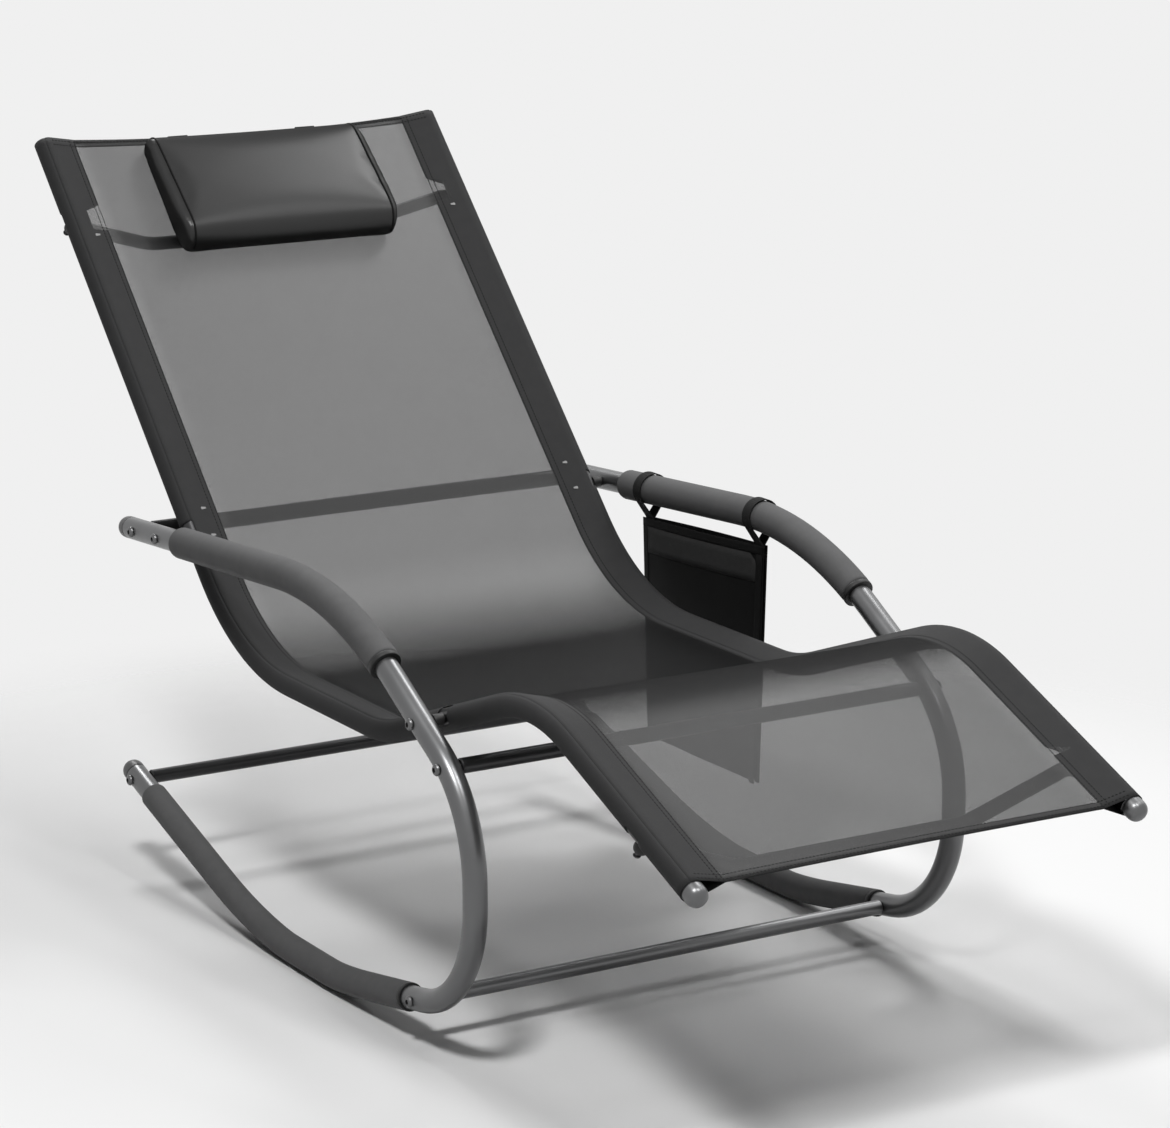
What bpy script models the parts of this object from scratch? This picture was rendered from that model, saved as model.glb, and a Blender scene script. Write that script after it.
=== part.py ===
"""Sling rocking lounger: bent-tube side frames on runners, S-shaped seat rails, a mesh sling,
a head pillow that lifts off over the top hem and a side bag that swings from the left arm."""

import math

import bmesh
import bpy
from mathutils import Matrix, Vector

# Driving dimensions in metres and degrees.
# +X is the sitter's left, +Y runs from the foot end to the head end, +Z is up, the floor is z = 0.

# Clearance between pieces that touch, and fineness of round shapes
GAP = 0.0003
TUBE_RESOLUTION = 4
BRACE_RESOLUTION = 3
TUBE_SIDES = 2 * TUBE_RESOLUTION + 4
BEND_STEP = 9.0
RUNNER_FACET = 2.4
RUNNER_REST_FACET = 8.8
TURN_STEPS = 8

# Side frames
FRAME_X = 0.290
FRAME_TUBE_R = 0.0125
RUNNER_BEND_R = 0.710
RUNNER_LOW_Y = -0.006
RUNNER_REAR_RISE = 17.1
RUNNER_FRONT_RISE = 10.1
RUNNER_REAR_Y = 0.440
UPRIGHT_Y = -0.365
UPRIGHT_TOP_Z = 0.277
FOOT_BEND_R = 0.130
UPRIGHT_BEND_R = 0.140
ARM_RISE = 30.0
ARM_FALL = 3.8
ARM_BEND_R = 0.440
ARM_REAR_Y = 0.434
ARM_REAR_Z = 0.4020
FRAME_JOINT_Y = -0.202
SPIGOT_R = 0.0090
FRAME_SPIGOT = 0.020

# Sleeves on the runners and the arms, with a rubber ring at each front end
RUNNER_SLEEVE_R = 0.0150
RUNNER_SLEEVE_FROM_END = 0.062
RUNNER_SLEEVE_FRONT_Y = -0.226
ARM_SLEEVE_R = 0.0175
ARM_SLEEVE_FROM_END = 0.149
ARM_SLEEVE_FRONT_Y = -0.181
RING_LENGTH = 0.006

# Seat rails
RAIL_INSET = 0.036
RAIL_R = 0.0115
SEAT_Z = 0.288
SEAT_FRONT_Y = -0.1205
SEAT_REAR_Y = 0.212
SEAT_RISE = 19.95
KNEE_Y = -0.420
LEG_FALL = 22.25
LEG_LENGTH = 0.3210
BACK_RISE = 45.9
BACK_LENGTH = 0.7165
KNEE_BEND_R = 0.185
SEAT_FRONT_BEND_R = 0.200
SEAT_REAR_BEND_R = 0.270
RAIL_SPIGOT_R = 0.0080

# End caps
CAP_SPIGOT = 0.010
CAP_LENGTH = 0.008

# Straight crossbars
BASE_BAR_R = 0.0080
BACK_BAR_R = 0.0095
BAR_WALL = 0.0015
REAR_BAR_FROM_END = 0.028
FRONT_BAR_Y = -0.252
SEAT_BAR_TURN = 51.0
BACK_BAR_FROM_END = 0.043

# Bowed braces under the rails at the head and at the foot
BRACE_R = 0.0080
BRACE_FROM_END = 0.108
BRACE_DROP = 0.067
BRACE_FLAT_HALF = 0.135
BRACE_SEAT_INSIDE = 0.012
BRACE_OVERHANG = 0.005
BRACE_BEND_R = 0.070
BRACE_SEAT_BEND_R = 0.020

# Fasteners
BOLT_R = 0.0030
BOLT_HEAD_R = 0.0062
BOLT_HEAD_H = 0.0036
BOLT_GRIP = 0.014
SPACER_R = 0.0065
SCREW_R = 0.0020
SCREW_HEAD_R = 0.0040
SCREW_HEAD_H = 0.0022
SCREW_GRIP = 0.010

# Sling
CLOTH = 0.0010
SLING_SAG = 0.010
HEM_WIDTH = 0.0325
HEM_LAYER_GAP = 0.0018
TOP_HEM_BOW = 0.008
FOOT_HEM_BOW = 0.003
SLING_FOOT_INSET = 0.0170
SLING_HEAD_OVER = 0.0010
WRAP_SEGMENTS = 6
MESH_SEGMENTS = 3
BRACE_SLOT_HALF = 0.016
BOLT_SLOT_HALF = 0.011

# Head pillow and its straps
PILLOW_LENGTH = 0.288
PILLOW_HEIGHT = 0.166
PILLOW_FROM_HEAD = 0.016
PILLOW_THICK_LOW = 0.039
PILLOW_THICK_TOP = 0.026
PILLOW_WAIST = 0.004
PILLOW_CROWN = 0.006
PILLOW_CUTS = 3
PILLOW_SEAT = 0.0005
STRAP_X = 0.085
STRAP_WIDTH = 0.025
STRAP_THICK = 0.0016
STRAP_TAIL = 0.070
PILLOW_LIFT_CLEAR = 0.0006

# Side bag and its straps on the left arm
BAG_FRONT_Y = -0.003
BAG_WIDTH = 0.250
BAG_HEIGHT = 0.280
BAG_TAPER = 0.012
BAG_BELOW_SLEEVE = 0.016
BAG_MOUTH = 0.014
BAG_BELLY = 0.022
BAG_WALL = 0.0012
BAG_CUTS = 4
BAG_STRAP_WIDTH = 0.015
BAG_STRAP_THICK = 0.0015
BAG_STRAP_LAP = 0.014
BAG_STRAP_CLEAR = 0.0010
BAG_STRAP_PLAY = 0.0010
LOOP_SEGMENTS = 16

SIDES = (("right", -1), ("left", 1))


# Scene and materials

def empty_scene():
    for old in list(bpy.data.objects):
        bpy.data.objects.remove(old, do_unlink=True)


def new_collection(name):
    made = bpy.data.collections.new(name)
    bpy.context.scene.collection.children.link(made)
    return made


def principled(name, colour, roughness, metallic=0.0):
    material = bpy.data.materials.new(name)
    material.use_nodes = True
    shader = material.node_tree.nodes["Principled BSDF"]
    shader.inputs["Base Color"].default_value = (*colour, 1.0)
    shader.inputs["Roughness"].default_value = roughness
    shader.inputs["Metallic"].default_value = metallic
    material.diffuse_color = (*colour, 1.0)
    return material


# Paths in the side plane, as lists of Vector((y, z))

def direction(angle):
    """Unit vector in the side plane, angle in degrees above +Y."""
    return Vector((math.cos(math.radians(angle)), math.sin(math.radians(angle))))


def crossing(point_a, way_a, point_b, way_b):
    """Where two lines in the side plane meet."""
    offset = point_b - point_a
    share = (offset.x * way_b.y - offset.y * way_b.x) / (way_a.x * way_b.y - way_a.y * way_b.x)
    return point_a + way_a * share


def at_y(point, way, y):
    """The point of a line in the side plane that has this y."""
    return point + way * ((y - point.x) / way.x)


def arc(centre, radius, start, turn, steps):
    """Points on an arc, without its first one; angles in degrees."""
    return [centre + direction(start + turn * k / steps) * radius for k in range(1, steps + 1)]


def bent(corners, radii):
    """A polyline through corners, each inner corner rounded by its bend radius."""
    points = [corners[0]]
    for before, corner, after, radius in zip(corners, corners[1:], corners[2:], radii):
        to_before = (before - corner).normalized()
        to_after = (after - corner).normalized()
        turn = math.pi - to_before.angle(to_after)
        tangent = radius * math.tan(turn / 2)
        centre = corner + (to_before + to_after).normalized() * (radius / math.cos(turn / 2))
        steps = max(2, math.ceil(math.degrees(turn) / BEND_STEP))
        start = corner + to_before * tangent
        spoke = start - centre
        heading = math.degrees(math.atan2(spoke.y, spoke.x))
        side = to_before.x * to_after.y - to_before.y * to_after.x
        turned = math.copysign(math.degrees(turn), -side)
        points.append(start)
        points.extend(arc(centre, radius, heading, turned, steps))
    points.append(corners[-1])
    return points


def lengths_along(path):
    """Distance of each path point from the first."""
    total = [0.0]
    for a, b in zip(path, path[1:]):
        total.append(total[-1] + (b - a).length)
    return total


def on_path(path, distance):
    """Point and unit direction at a distance along a path."""
    marks = lengths_along(path)
    for k in range(len(path) - 1):
        if distance <= marks[k + 1] or k == len(path) - 2:
            way = (path[k + 1] - path[k]).normalized()
            return path[k] + way * (distance - marks[k]), way


def part_between(path, start, end):
    """The stretch of a path between two distances along it."""
    marks = lengths_along(path)
    inner = [p for p, mark in zip(path, marks) if start + GAP < mark < end - GAP]
    return [on_path(path, start)[0], *inner, on_path(path, end)[0]]


def under(way):
    """Unit normal on the lower side of a path that runs towards the head."""
    return Vector((way.y, -way.x))


def distance_of_y(path, y):
    """Distance along a path to the first point with this y."""
    marks = lengths_along(path)
    for k in range(len(path) - 1):
        low, high = sorted((path[k].x, path[k + 1].x))
        if low <= y <= high and high > low:
            return marks[k] + (path[k + 1] - path[k]).length * (y - path[k].x) / (path[k + 1].x - path[k].x)


# The side frame's lines. The runner's lowest facet is level, centred on RUNNER_LOW_Y and long
# enough for the empty chair to stand on it.
HALF_FACET = RUNNER_REST_FACET / 2
RUNNER_CENTRE = Vector((
    RUNNER_LOW_Y,
    RUNNER_SLEEVE_R + RUNNER_BEND_R * math.cos(math.radians(HALF_FACET)),
))
REAR_TANGENT = RUNNER_CENTRE + direction(-90 + RUNNER_REAR_RISE) * RUNNER_BEND_R
REAR_WAY = direction(RUNNER_REAR_RISE)
FRONT_TANGENT = RUNNER_CENTRE + direction(-90 - RUNNER_FRONT_RISE) * RUNNER_BEND_R
FRONT_WAY = direction(180 - RUNNER_FRONT_RISE)
ARM_WAY = direction(-ARM_FALL)
ARM_TIP = Vector((ARM_REAR_Y, ARM_REAR_Z))
CAP_REACH = CAP_SPIGOT + CAP_LENGTH
ARM_END = ARM_TIP - ARM_WAY * CAP_REACH
RUNNER_TIP = at_y(REAR_TANGENT, REAR_WAY, RUNNER_REAR_Y)
RISE_WAY = direction(ARM_RISE)
UPRIGHT_FOOT = at_y(FRONT_TANGENT, FRONT_WAY, UPRIGHT_Y)
UPRIGHT_HEAD = Vector((UPRIGHT_Y, UPRIGHT_TOP_Z))
ARM_CORNER = crossing(UPRIGHT_HEAD, RISE_WAY, ARM_END, ARM_WAY)
FRAME_JOINT = at_y(FRONT_TANGENT, FRONT_WAY, FRAME_JOINT_Y)
RUNNER_SLEEVE_REAR_Y = RUNNER_REAR_Y - RUNNER_SLEEVE_FROM_END
ARM_SLEEVE_REAR_Y = ARM_REAR_Y - ARM_SLEEVE_FROM_END


def runner_path():
    """Runner centreline from its rear end to the joint with the arm tube."""
    rear_steps = math.ceil((RUNNER_REAR_RISE - HALF_FACET) / RUNNER_FACET)
    front_steps = math.ceil((RUNNER_FRONT_RISE - HALF_FACET) / RUNNER_FACET)
    start = -90 + RUNNER_REAR_RISE
    points = [RUNNER_TIP - REAR_WAY * CAP_REACH, REAR_TANGENT]
    points += arc(RUNNER_CENTRE, RUNNER_BEND_R, start, HALF_FACET - RUNNER_REAR_RISE, rear_steps)
    points.append(RUNNER_CENTRE + direction(-90 - HALF_FACET) * RUNNER_BEND_R)
    points += arc(RUNNER_CENTRE, RUNNER_BEND_R, -90 - HALF_FACET,
                  HALF_FACET - RUNNER_FRONT_RISE, front_steps)
    points.append(FRAME_JOINT)
    return points


RUNNER_PATH = runner_path()
ARM_PATH = bent(
    [FRAME_JOINT, UPRIGHT_FOOT, UPRIGHT_HEAD, ARM_CORNER, ARM_END],
    [FOOT_BEND_R, UPRIGHT_BEND_R, ARM_BEND_R],
)

# The seat rail's lines
RAIL_X = FRAME_X - RAIL_INSET
SEAT_REAR = Vector((SEAT_REAR_Y, SEAT_Z))
SEAT_FRONT = Vector((SEAT_FRONT_Y, SEAT_Z))
BACK_WAY = direction(BACK_RISE)
SEAT_RISE_WAY = direction(180 - SEAT_RISE)
KNEE = at_y(SEAT_FRONT, SEAT_RISE_WAY, KNEE_Y)
LEG_WAY = direction(180 + LEG_FALL)
FOOT_TIP = KNEE + LEG_WAY * LEG_LENGTH
HEAD_TIP = SEAT_REAR + BACK_WAY * BACK_LENGTH
RAIL_LINE = bent(
    [FOOT_TIP, KNEE, SEAT_FRONT, SEAT_REAR, HEAD_TIP + BACK_WAY * SLING_HEAD_OVER],
    [KNEE_BEND_R, SEAT_FRONT_BEND_R, SEAT_REAR_BEND_R],
)
SLING_TOTAL = lengths_along(RAIL_LINE)[-1]
RAIL_TOTAL = SLING_TOTAL - SLING_HEAD_OVER
RAIL_PATH = part_between(RAIL_LINE, CAP_REACH, RAIL_TOTAL - CAP_REACH)
FRONT_MOUNT = crossing(UPRIGHT_HEAD, RISE_WAY, SEAT_FRONT, SEAT_RISE_WAY)
REAR_MOUNT = crossing(ARM_END, ARM_WAY, SEAT_REAR, BACK_WAY)

# Crossbar places
UPRIGHT_BEND_CENTRE = UPRIGHT_HEAD + Vector((
    UPRIGHT_BEND_R,
    -UPRIGHT_BEND_R * math.tan(math.radians((90 - ARM_RISE) / 2)),
))
REAR_BAR = at_y(REAR_TANGENT, REAR_WAY, RUNNER_REAR_Y - REAR_BAR_FROM_END)
FRONT_BAR = at_y(FRONT_TANGENT, FRONT_WAY, FRONT_BAR_Y)
SEAT_BAR = UPRIGHT_BEND_CENTRE + direction(180 - SEAT_BAR_TURN) * UPRIGHT_BEND_R
BACK_BAR = at_y(ARM_END, ARM_WAY, ARM_REAR_Y - BACK_BAR_FROM_END)
BAR_NAMES = ("rear_crossbar", "front_crossbar", "seat_crossbar", "back_crossbar")
BAR_PLACES = (REAR_BAR, FRONT_BAR, SEAT_BAR, BACK_BAR)
FRAME_INNER_X = FRAME_X - FRAME_TUBE_R
FRAME_OUTER_X = FRAME_X + FRAME_TUBE_R
RAIL_OUTER_X = RAIL_X + RAIL_R

# Brace and sling sizes that follow from the rail
BRACE_SEAT_DEPTH = RAIL_R + BRACE_R + GAP

# How much wider a faceted bore is made to clear a round piece inside it
SLEEVE_FIT = 1.0 / math.cos(math.pi / TUBE_SIDES)
TURN_FIT = 1.0 / math.cos(math.pi / TURN_STEPS)


# Building blocks

def in_space(x, point):
    return Vector((x, point.x, point.y))


def add_object(name, data, material, collection):
    made = bpy.data.objects.new(name, data)
    collection.objects.link(made)
    if material:
        data.materials.append(material)
    return made


def tube(name, points, radius, material, collection, capped=True, radii=None,
         resolution=TUBE_RESOLUTION):
    """A round bar along 3-D points; radii gives the radius at each point where it changes."""
    data = bpy.data.curves.new(name, "CURVE")
    data.dimensions = "3D"
    data.bevel_depth = radius
    data.bevel_resolution = resolution
    data.use_fill_caps = capped
    spline = data.splines.new("POLY")
    spline.points.add(len(points) - 1)
    for k, place in enumerate(points):
        spline.points[k].co = (*place, 1.0)
        spline.points[k].radius = radii[k] / radius if radii else 1.0
    spline.use_smooth = True
    return add_object(name, data, material, collection)


def evaluated_mesh(made):
    bpy.context.view_layer.update()
    graph = bpy.context.evaluated_depsgraph_get()
    return bpy.data.meshes.new_from_object(made.evaluated_get(graph))


def as_mesh(made, material, collection):
    """Turn a curve object into a mesh object with welded caps, so that it can be drilled."""
    mesh = evaluated_mesh(made)
    shape = bmesh.new()
    shape.from_mesh(mesh)
    bmesh.ops.remove_doubles(shape, verts=shape.verts, dist=GAP / 30)
    shape.to_mesh(mesh)
    shape.free()
    mesh.materials.clear()
    name = made.name
    place = made.matrix_world.copy()
    bpy.data.objects.remove(made, do_unlink=True)
    mesh.name = name
    solid = add_object(name, mesh, material, collection)
    solid.matrix_world = place
    return solid


def solidify(made, thickness, offset):
    wall = made.modifiers.new("wall", "SOLIDIFY")
    wall.thickness = thickness
    wall.offset = offset
    wall.use_even_offset = True
    wall.use_quality_normals = True
    return made


def turned_profile(name, profile, material, closed=False):
    """A mesh of (radius, height) points about local Z, to be turned into a body."""
    mesh = bpy.data.meshes.new(name)
    edges = [(k, k + 1) for k in range(len(profile) - 1)]
    if closed:
        edges.append((len(profile) - 1, 0))
    mesh.from_pydata([(r, 0.0, h) for r, h in profile], edges, [])
    mesh.materials.append(material)
    return mesh


def turned(name, profile_mesh, place, collection):
    """A body of revolution about local Z, put in its place by a matrix."""
    made = add_object(name, profile_mesh, None, collection)
    made.matrix_world = place
    screw = made.modifiers.new("turn", "SCREW")
    screw.axis = "Z"
    screw.angle = 2 * math.pi
    screw.steps = TURN_STEPS
    screw.render_steps = TURN_STEPS
    screw.use_smooth_shade = True
    screw.use_merge_vertices = True
    screw.merge_threshold = 0.00001
    return made


def standing(place, way):
    """Matrix that puts local Z along way at a place."""
    return Matrix.Translation(place) @ way.to_track_quat("Z", "Y").to_matrix().to_4x4()


def drill(solid, holes, collection):
    """Cut round holes, each (start, way, length, radius), out of a solid."""
    shape = bmesh.new()
    for start, way, length, radius in holes:
        place = standing(start + way * (length / 2), way)
        bmesh.ops.create_cone(shape, cap_ends=True, segments=TURN_STEPS, radius1=radius,
                              radius2=radius, depth=length, matrix=place)
    mesh = bpy.data.meshes.new(solid.name + "_holes")
    shape.to_mesh(mesh)
    shape.free()
    cutter = add_object(solid.name + "_holes", mesh, None, collection)
    cutter.hide_render = True
    cutter.display_type = "WIRE"
    cut = solid.modifiers.new("holes", "BOOLEAN")
    cut.operation = "DIFFERENCE"
    cut.solver = "EXACT"
    cut.object = cutter


def smooth(made):
    if made.type == "MESH":
        made.data.shade_smooth()
        made.data.set_sharp_from_angle(angle=math.radians(40))


def cap_profile(radius, spigot_radius):
    """A cup that slips over a spigot and closes it with a rounded end, from the top down."""
    bore = (spigot_radius + GAP) * TURN_FIT
    round_off = 0.45 * radius
    return [
        (0.0, CAP_SPIGOT + CAP_LENGTH),
        (radius - round_off, CAP_SPIGOT + CAP_LENGTH),
        (radius - 0.3 * round_off, CAP_SPIGOT + CAP_LENGTH - 0.3 * round_off),
        (radius, CAP_SPIGOT + CAP_LENGTH - round_off),
        (radius, GAP),
        (bore, GAP),
        (bore, CAP_SPIGOT + GAP),
        (0.0, CAP_SPIGOT + GAP),
    ]


def stepped(path, radius, spigot_radius, spigot, at_start, at_end):
    """A path lengthened by reduced spigots at its ends, with the radius at each point."""
    points = list(path)
    radii = [radius] * len(points)
    if at_start:
        way = (points[0] - points[1]).normalized()
        end = points[0]
        points = [end + way * spigot, end + way * GAP / 3, *points]
        radii = [spigot_radius, spigot_radius, *radii]
    if at_end:
        way = (points[-1] - points[-2]).normalized()
        end = points[-1]
        points += [end + way * GAP / 3, end + way * spigot]
        radii += [spigot_radius, spigot_radius]
    return points, radii


# Sub-parts

def make_runner(side, sign, materials, parts, cutters):
    points, radii = stepped(RUNNER_PATH, FRAME_TUBE_R, SPIGOT_R, CAP_SPIGOT, True, False)
    joint_way = FRONT_WAY
    points += [FRAME_JOINT + joint_way * GAP / 3, FRAME_JOINT + joint_way * FRAME_SPIGOT]
    radii += [SPIGOT_R, SPIGOT_R]
    places = [in_space(sign * FRAME_X, p) for p in points]
    bar = tube(f"{side}_rocker_tube", places, FRAME_TUBE_R, None, parts, radii=radii)
    solid = as_mesh(bar, materials["tube"], parts)
    drill(solid, [bolt_hole(sign, REAR_BAR)], cutters)
    smooth(solid)
    end = in_space(sign * FRAME_X, RUNNER_PATH[0])
    profile = turned_profile("frame_cap", cap_profile(FRAME_TUBE_R, SPIGOT_R), materials["cap"])
    turned(f"{side}_rocker_rear_cap", profile, standing(end, in_space(0.0, REAR_WAY)), parts)


def bolt_hole(sign, point):
    start = in_space(sign * (FRAME_INNER_X - FRAME_TUBE_R), point)
    return start, Vector((sign, 0.0, 0.0)), 4 * FRAME_TUBE_R, BOLT_R + GAP


def make_arm(side, sign, materials, parts, cutters):
    path = [FRAME_JOINT + FRONT_WAY * GAP, *ARM_PATH[1:]]
    points, radii = stepped(path, FRAME_TUBE_R, SPIGOT_R, CAP_SPIGOT, False, True)
    places = [in_space(sign * FRAME_X, p) for p in points]
    bar = tube(f"{side}_arm_tube", places, FRAME_TUBE_R, None, parts, radii=radii)
    solid = as_mesh(bar, materials["tube"], parts)
    holes = [bolt_hole(sign, p) for p in (FRONT_BAR, SEAT_BAR, BACK_BAR, FRONT_MOUNT, REAR_MOUNT)]
    socket_start = in_space(sign * FRAME_X, FRAME_JOINT - FRONT_WAY * FRAME_SPIGOT)
    socket_radius = (SPIGOT_R + GAP) * TURN_FIT
    holes.append((socket_start, in_space(0.0, FRONT_WAY), 2 * FRAME_SPIGOT + GAP, socket_radius))
    drill(solid, holes, cutters)
    smooth(solid)
    end = in_space(sign * FRAME_X, ARM_END)
    profile = turned_profile("frame_cap", cap_profile(FRAME_TUBE_R, SPIGOT_R), materials["cap"])
    turned(f"{side}_arm_rear_cap", profile, standing(end, in_space(0.0, ARM_WAY)), parts)


def make_sleeve(name, sign, path, outer, material, parts):
    inner = (FRAME_TUBE_R + GAP) * SLEEVE_FIT
    places = [in_space(sign * FRAME_X, p) for p in path]
    skin = tube(name, places, inner, material, parts, capped=False)
    return solidify(skin, outer - inner, 1.0)


def make_sleeves(side, sign, materials, parts):
    frame_line = RUNNER_PATH[:-1] + ARM_PATH
    start = distance_of_y(frame_line, RUNNER_SLEEVE_REAR_Y)
    end = distance_of_y(frame_line, RUNNER_SLEEVE_FRONT_Y)
    make_sleeve(f"{side}_rocker_sleeve", sign, part_between(frame_line, start, end),
                RUNNER_SLEEVE_R, materials["sleeve"], parts)
    ring_path = part_between(frame_line, end + GAP, end + GAP + RING_LENGTH)
    make_sleeve(f"{side}_rocker_ring", sign, ring_path, RUNNER_SLEEVE_R, materials["rubber"], parts)
    arm_line = ARM_PATH[::-1]
    start = distance_of_y(arm_line, ARM_SLEEVE_REAR_Y)
    end = distance_of_y(arm_line, ARM_SLEEVE_FRONT_Y)
    make_sleeve(f"{side}_arm_sleeve", sign, part_between(arm_line, start, end),
                ARM_SLEEVE_R, materials["sleeve"], parts)
    ring_path = part_between(arm_line, end + GAP, end + GAP + RING_LENGTH)
    make_sleeve(f"{side}_arm_ring", sign, ring_path, ARM_SLEEVE_R, materials["rubber"], parts)


def brace_stations():
    """Distance along the rail of the foot brace and of the head brace."""
    return BRACE_FROM_END, RAIL_TOTAL - BRACE_FROM_END


def make_rail(side, sign, materials, parts, cutters):
    points, radii = stepped(RAIL_PATH, RAIL_R, RAIL_SPIGOT_R, CAP_SPIGOT, True, True)
    places = [in_space(sign * RAIL_X, p) for p in points]
    bar = tube(f"{side}_seat_rail", places, RAIL_R, None, parts, radii=radii)
    solid = as_mesh(bar, materials["tube"], parts)
    outward = Vector((sign, 0.0, 0.0))
    holes = []
    for mount in (FRONT_MOUNT, REAR_MOUNT):
        start = in_space(sign * (RAIL_OUTER_X - BOLT_GRIP - GAP), mount)
        holes.append((start, outward, BOLT_GRIP + RAIL_R, BOLT_R + GAP))
    for station in brace_stations():
        point, way = on_path(RAIL_LINE, station)
        down = in_space(0.0, under(way))
        start = in_space(sign * RAIL_X, point) + down * (RAIL_R - SCREW_GRIP - GAP)
        holes.append((start, down, SCREW_GRIP + RAIL_R, SCREW_R + GAP))
    drill(solid, holes, cutters)
    smooth(solid)
    ends = (("foot", RAIL_PATH[0], LEG_WAY), ("head", RAIL_PATH[-1], BACK_WAY))
    profile = turned_profile("rail_cap", cap_profile(RAIL_R, RAIL_SPIGOT_R), materials["tube"])
    for end_name, end, way in ends:
        place = standing(in_space(sign * RAIL_X, end), in_space(0.0, way))
        turned(f"{side}_rail_{end_name}_cap", profile, place, parts)


def make_crossbars(materials, parts):
    radii = (BASE_BAR_R, BASE_BAR_R, BASE_BAR_R, BACK_BAR_R)
    reach = FRAME_INNER_X - GAP
    for name, point, radius in zip(BAR_NAMES, BAR_PLACES, radii):
        ends = [in_space(-reach, point), in_space(reach, point)]
        bar = tube(name, ends, radius, materials["tube"], parts, capped=False)
        solidify(bar, BAR_WALL, -1.0)


def make_braces(materials, parts, cutters):
    seat_x = RAIL_X - BRACE_SEAT_INSIDE
    half = [
        Vector((RAIL_X + BRACE_OVERHANG, BRACE_SEAT_DEPTH)),
        Vector((seat_x, BRACE_SEAT_DEPTH)),
        Vector((BRACE_FLAT_HALF, BRACE_DROP)),
    ]
    corners = half + [Vector((-p.x, p.y)) for p in reversed(half)]
    bends = [BRACE_SEAT_BEND_R, BRACE_BEND_R, BRACE_BEND_R, BRACE_SEAT_BEND_R]
    line = bent(corners, bends)
    for name, station in zip(("foot_brace", "head_brace"), brace_stations()):
        point, way = on_path(RAIL_LINE, station)
        down = in_space(0.0, under(way))
        middle = in_space(0.0, point)
        places = [middle + Vector((p.x, 0.0, 0.0)) + down * p.y for p in line]
        bar = tube(name, places, BRACE_R, None, parts, resolution=BRACE_RESOLUTION)
        solid = as_mesh(bar, materials["tube"], parts)
        holes = []
        for _, sign in SIDES:
            start = middle + Vector((sign * RAIL_X, 0.0, 0.0))
            holes.append((start, down, BRACE_SEAT_DEPTH + 2 * BRACE_R, SCREW_R + GAP))
        drill(solid, holes, cutters)
        smooth(solid)


def fastener_profile(shank, head, height, length):
    """A dome-headed bolt with its head above z = 0 and its shank below, from the top down."""
    return [
        (0.0, height),
        (0.55 * head, 0.9 * height),
        (head, 0.35 * height),
        (head, 0.0),
        (shank, 0.0),
        (shank, -length),
        (0.0, -length),
    ]


def make_bolts(materials, parts):
    """Bolts from the frame's outer face into the crossbars' ends."""
    length = 2 * FRAME_TUBE_R + BOLT_GRIP
    profile = fastener_profile(BOLT_R, BOLT_HEAD_R, BOLT_HEAD_H, length)
    bolt = turned_profile("bar_bolt", profile, materials["steel"])
    for side, sign in SIDES:
        outward = Vector((sign, 0.0, 0.0))
        for bar, point in zip(BAR_NAMES, BAR_PLACES):
            place = standing(in_space(sign * (FRAME_OUTER_X + GAP), point), outward)
            turned(f"{side}_{bar}_bolt", bolt, place, parts)


def make_rail_mounts(materials, parts):
    """Bolts from the frame's outer face through a spacer into the seat rail."""
    length = FRAME_OUTER_X - RAIL_OUTER_X + BOLT_GRIP
    profile = fastener_profile(BOLT_R, BOLT_HEAD_R, BOLT_HEAD_H, length)
    bolt = turned_profile("rail_bolt", profile, materials["steel"])
    height = FRAME_INNER_X - RAIL_OUTER_X - 2 * GAP
    bore = BOLT_R + GAP
    wall = [(SPACER_R, height), (SPACER_R, 0.0), (bore, 0.0), (bore, height)]
    spacer = turned_profile("rail_spacer", wall, materials["cap"], closed=True)
    for side, sign in SIDES:
        outward = Vector((sign, 0.0, 0.0))
        for name, mount in (("front", FRONT_MOUNT), ("rear", REAR_MOUNT)):
            bolt_place = standing(in_space(sign * (FRAME_OUTER_X + GAP), mount), outward)
            turned(f"{side}_{name}_rail_bolt", bolt, bolt_place, parts)
            spacer_place = standing(in_space(sign * (RAIL_OUTER_X + GAP), mount), outward)
            turned(f"{side}_{name}_rail_spacer", spacer, spacer_place, parts)


def make_brace_screws(materials, parts):
    """Screws from below through each brace end into the rail."""
    length = 2 * BRACE_R + 2 * GAP + SCREW_GRIP
    profile = fastener_profile(SCREW_R, SCREW_HEAD_R, SCREW_HEAD_H, length)
    screw = turned_profile("brace_screw", profile, materials["steel"])
    for name, station in zip(("foot", "head"), brace_stations()):
        point, way = on_path(RAIL_LINE, station)
        down = in_space(0.0, under(way))
        for side, sign in SIDES:
            base = in_space(sign * RAIL_X, point) + down * (BRACE_SEAT_DEPTH + BRACE_R + GAP)
            turned(f"{side}_{name}_brace_screw", screw, standing(base, down), parts)


# Sling: a section of hem, rail sleeve and sagging mesh, swept along the rail's centreline

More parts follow.
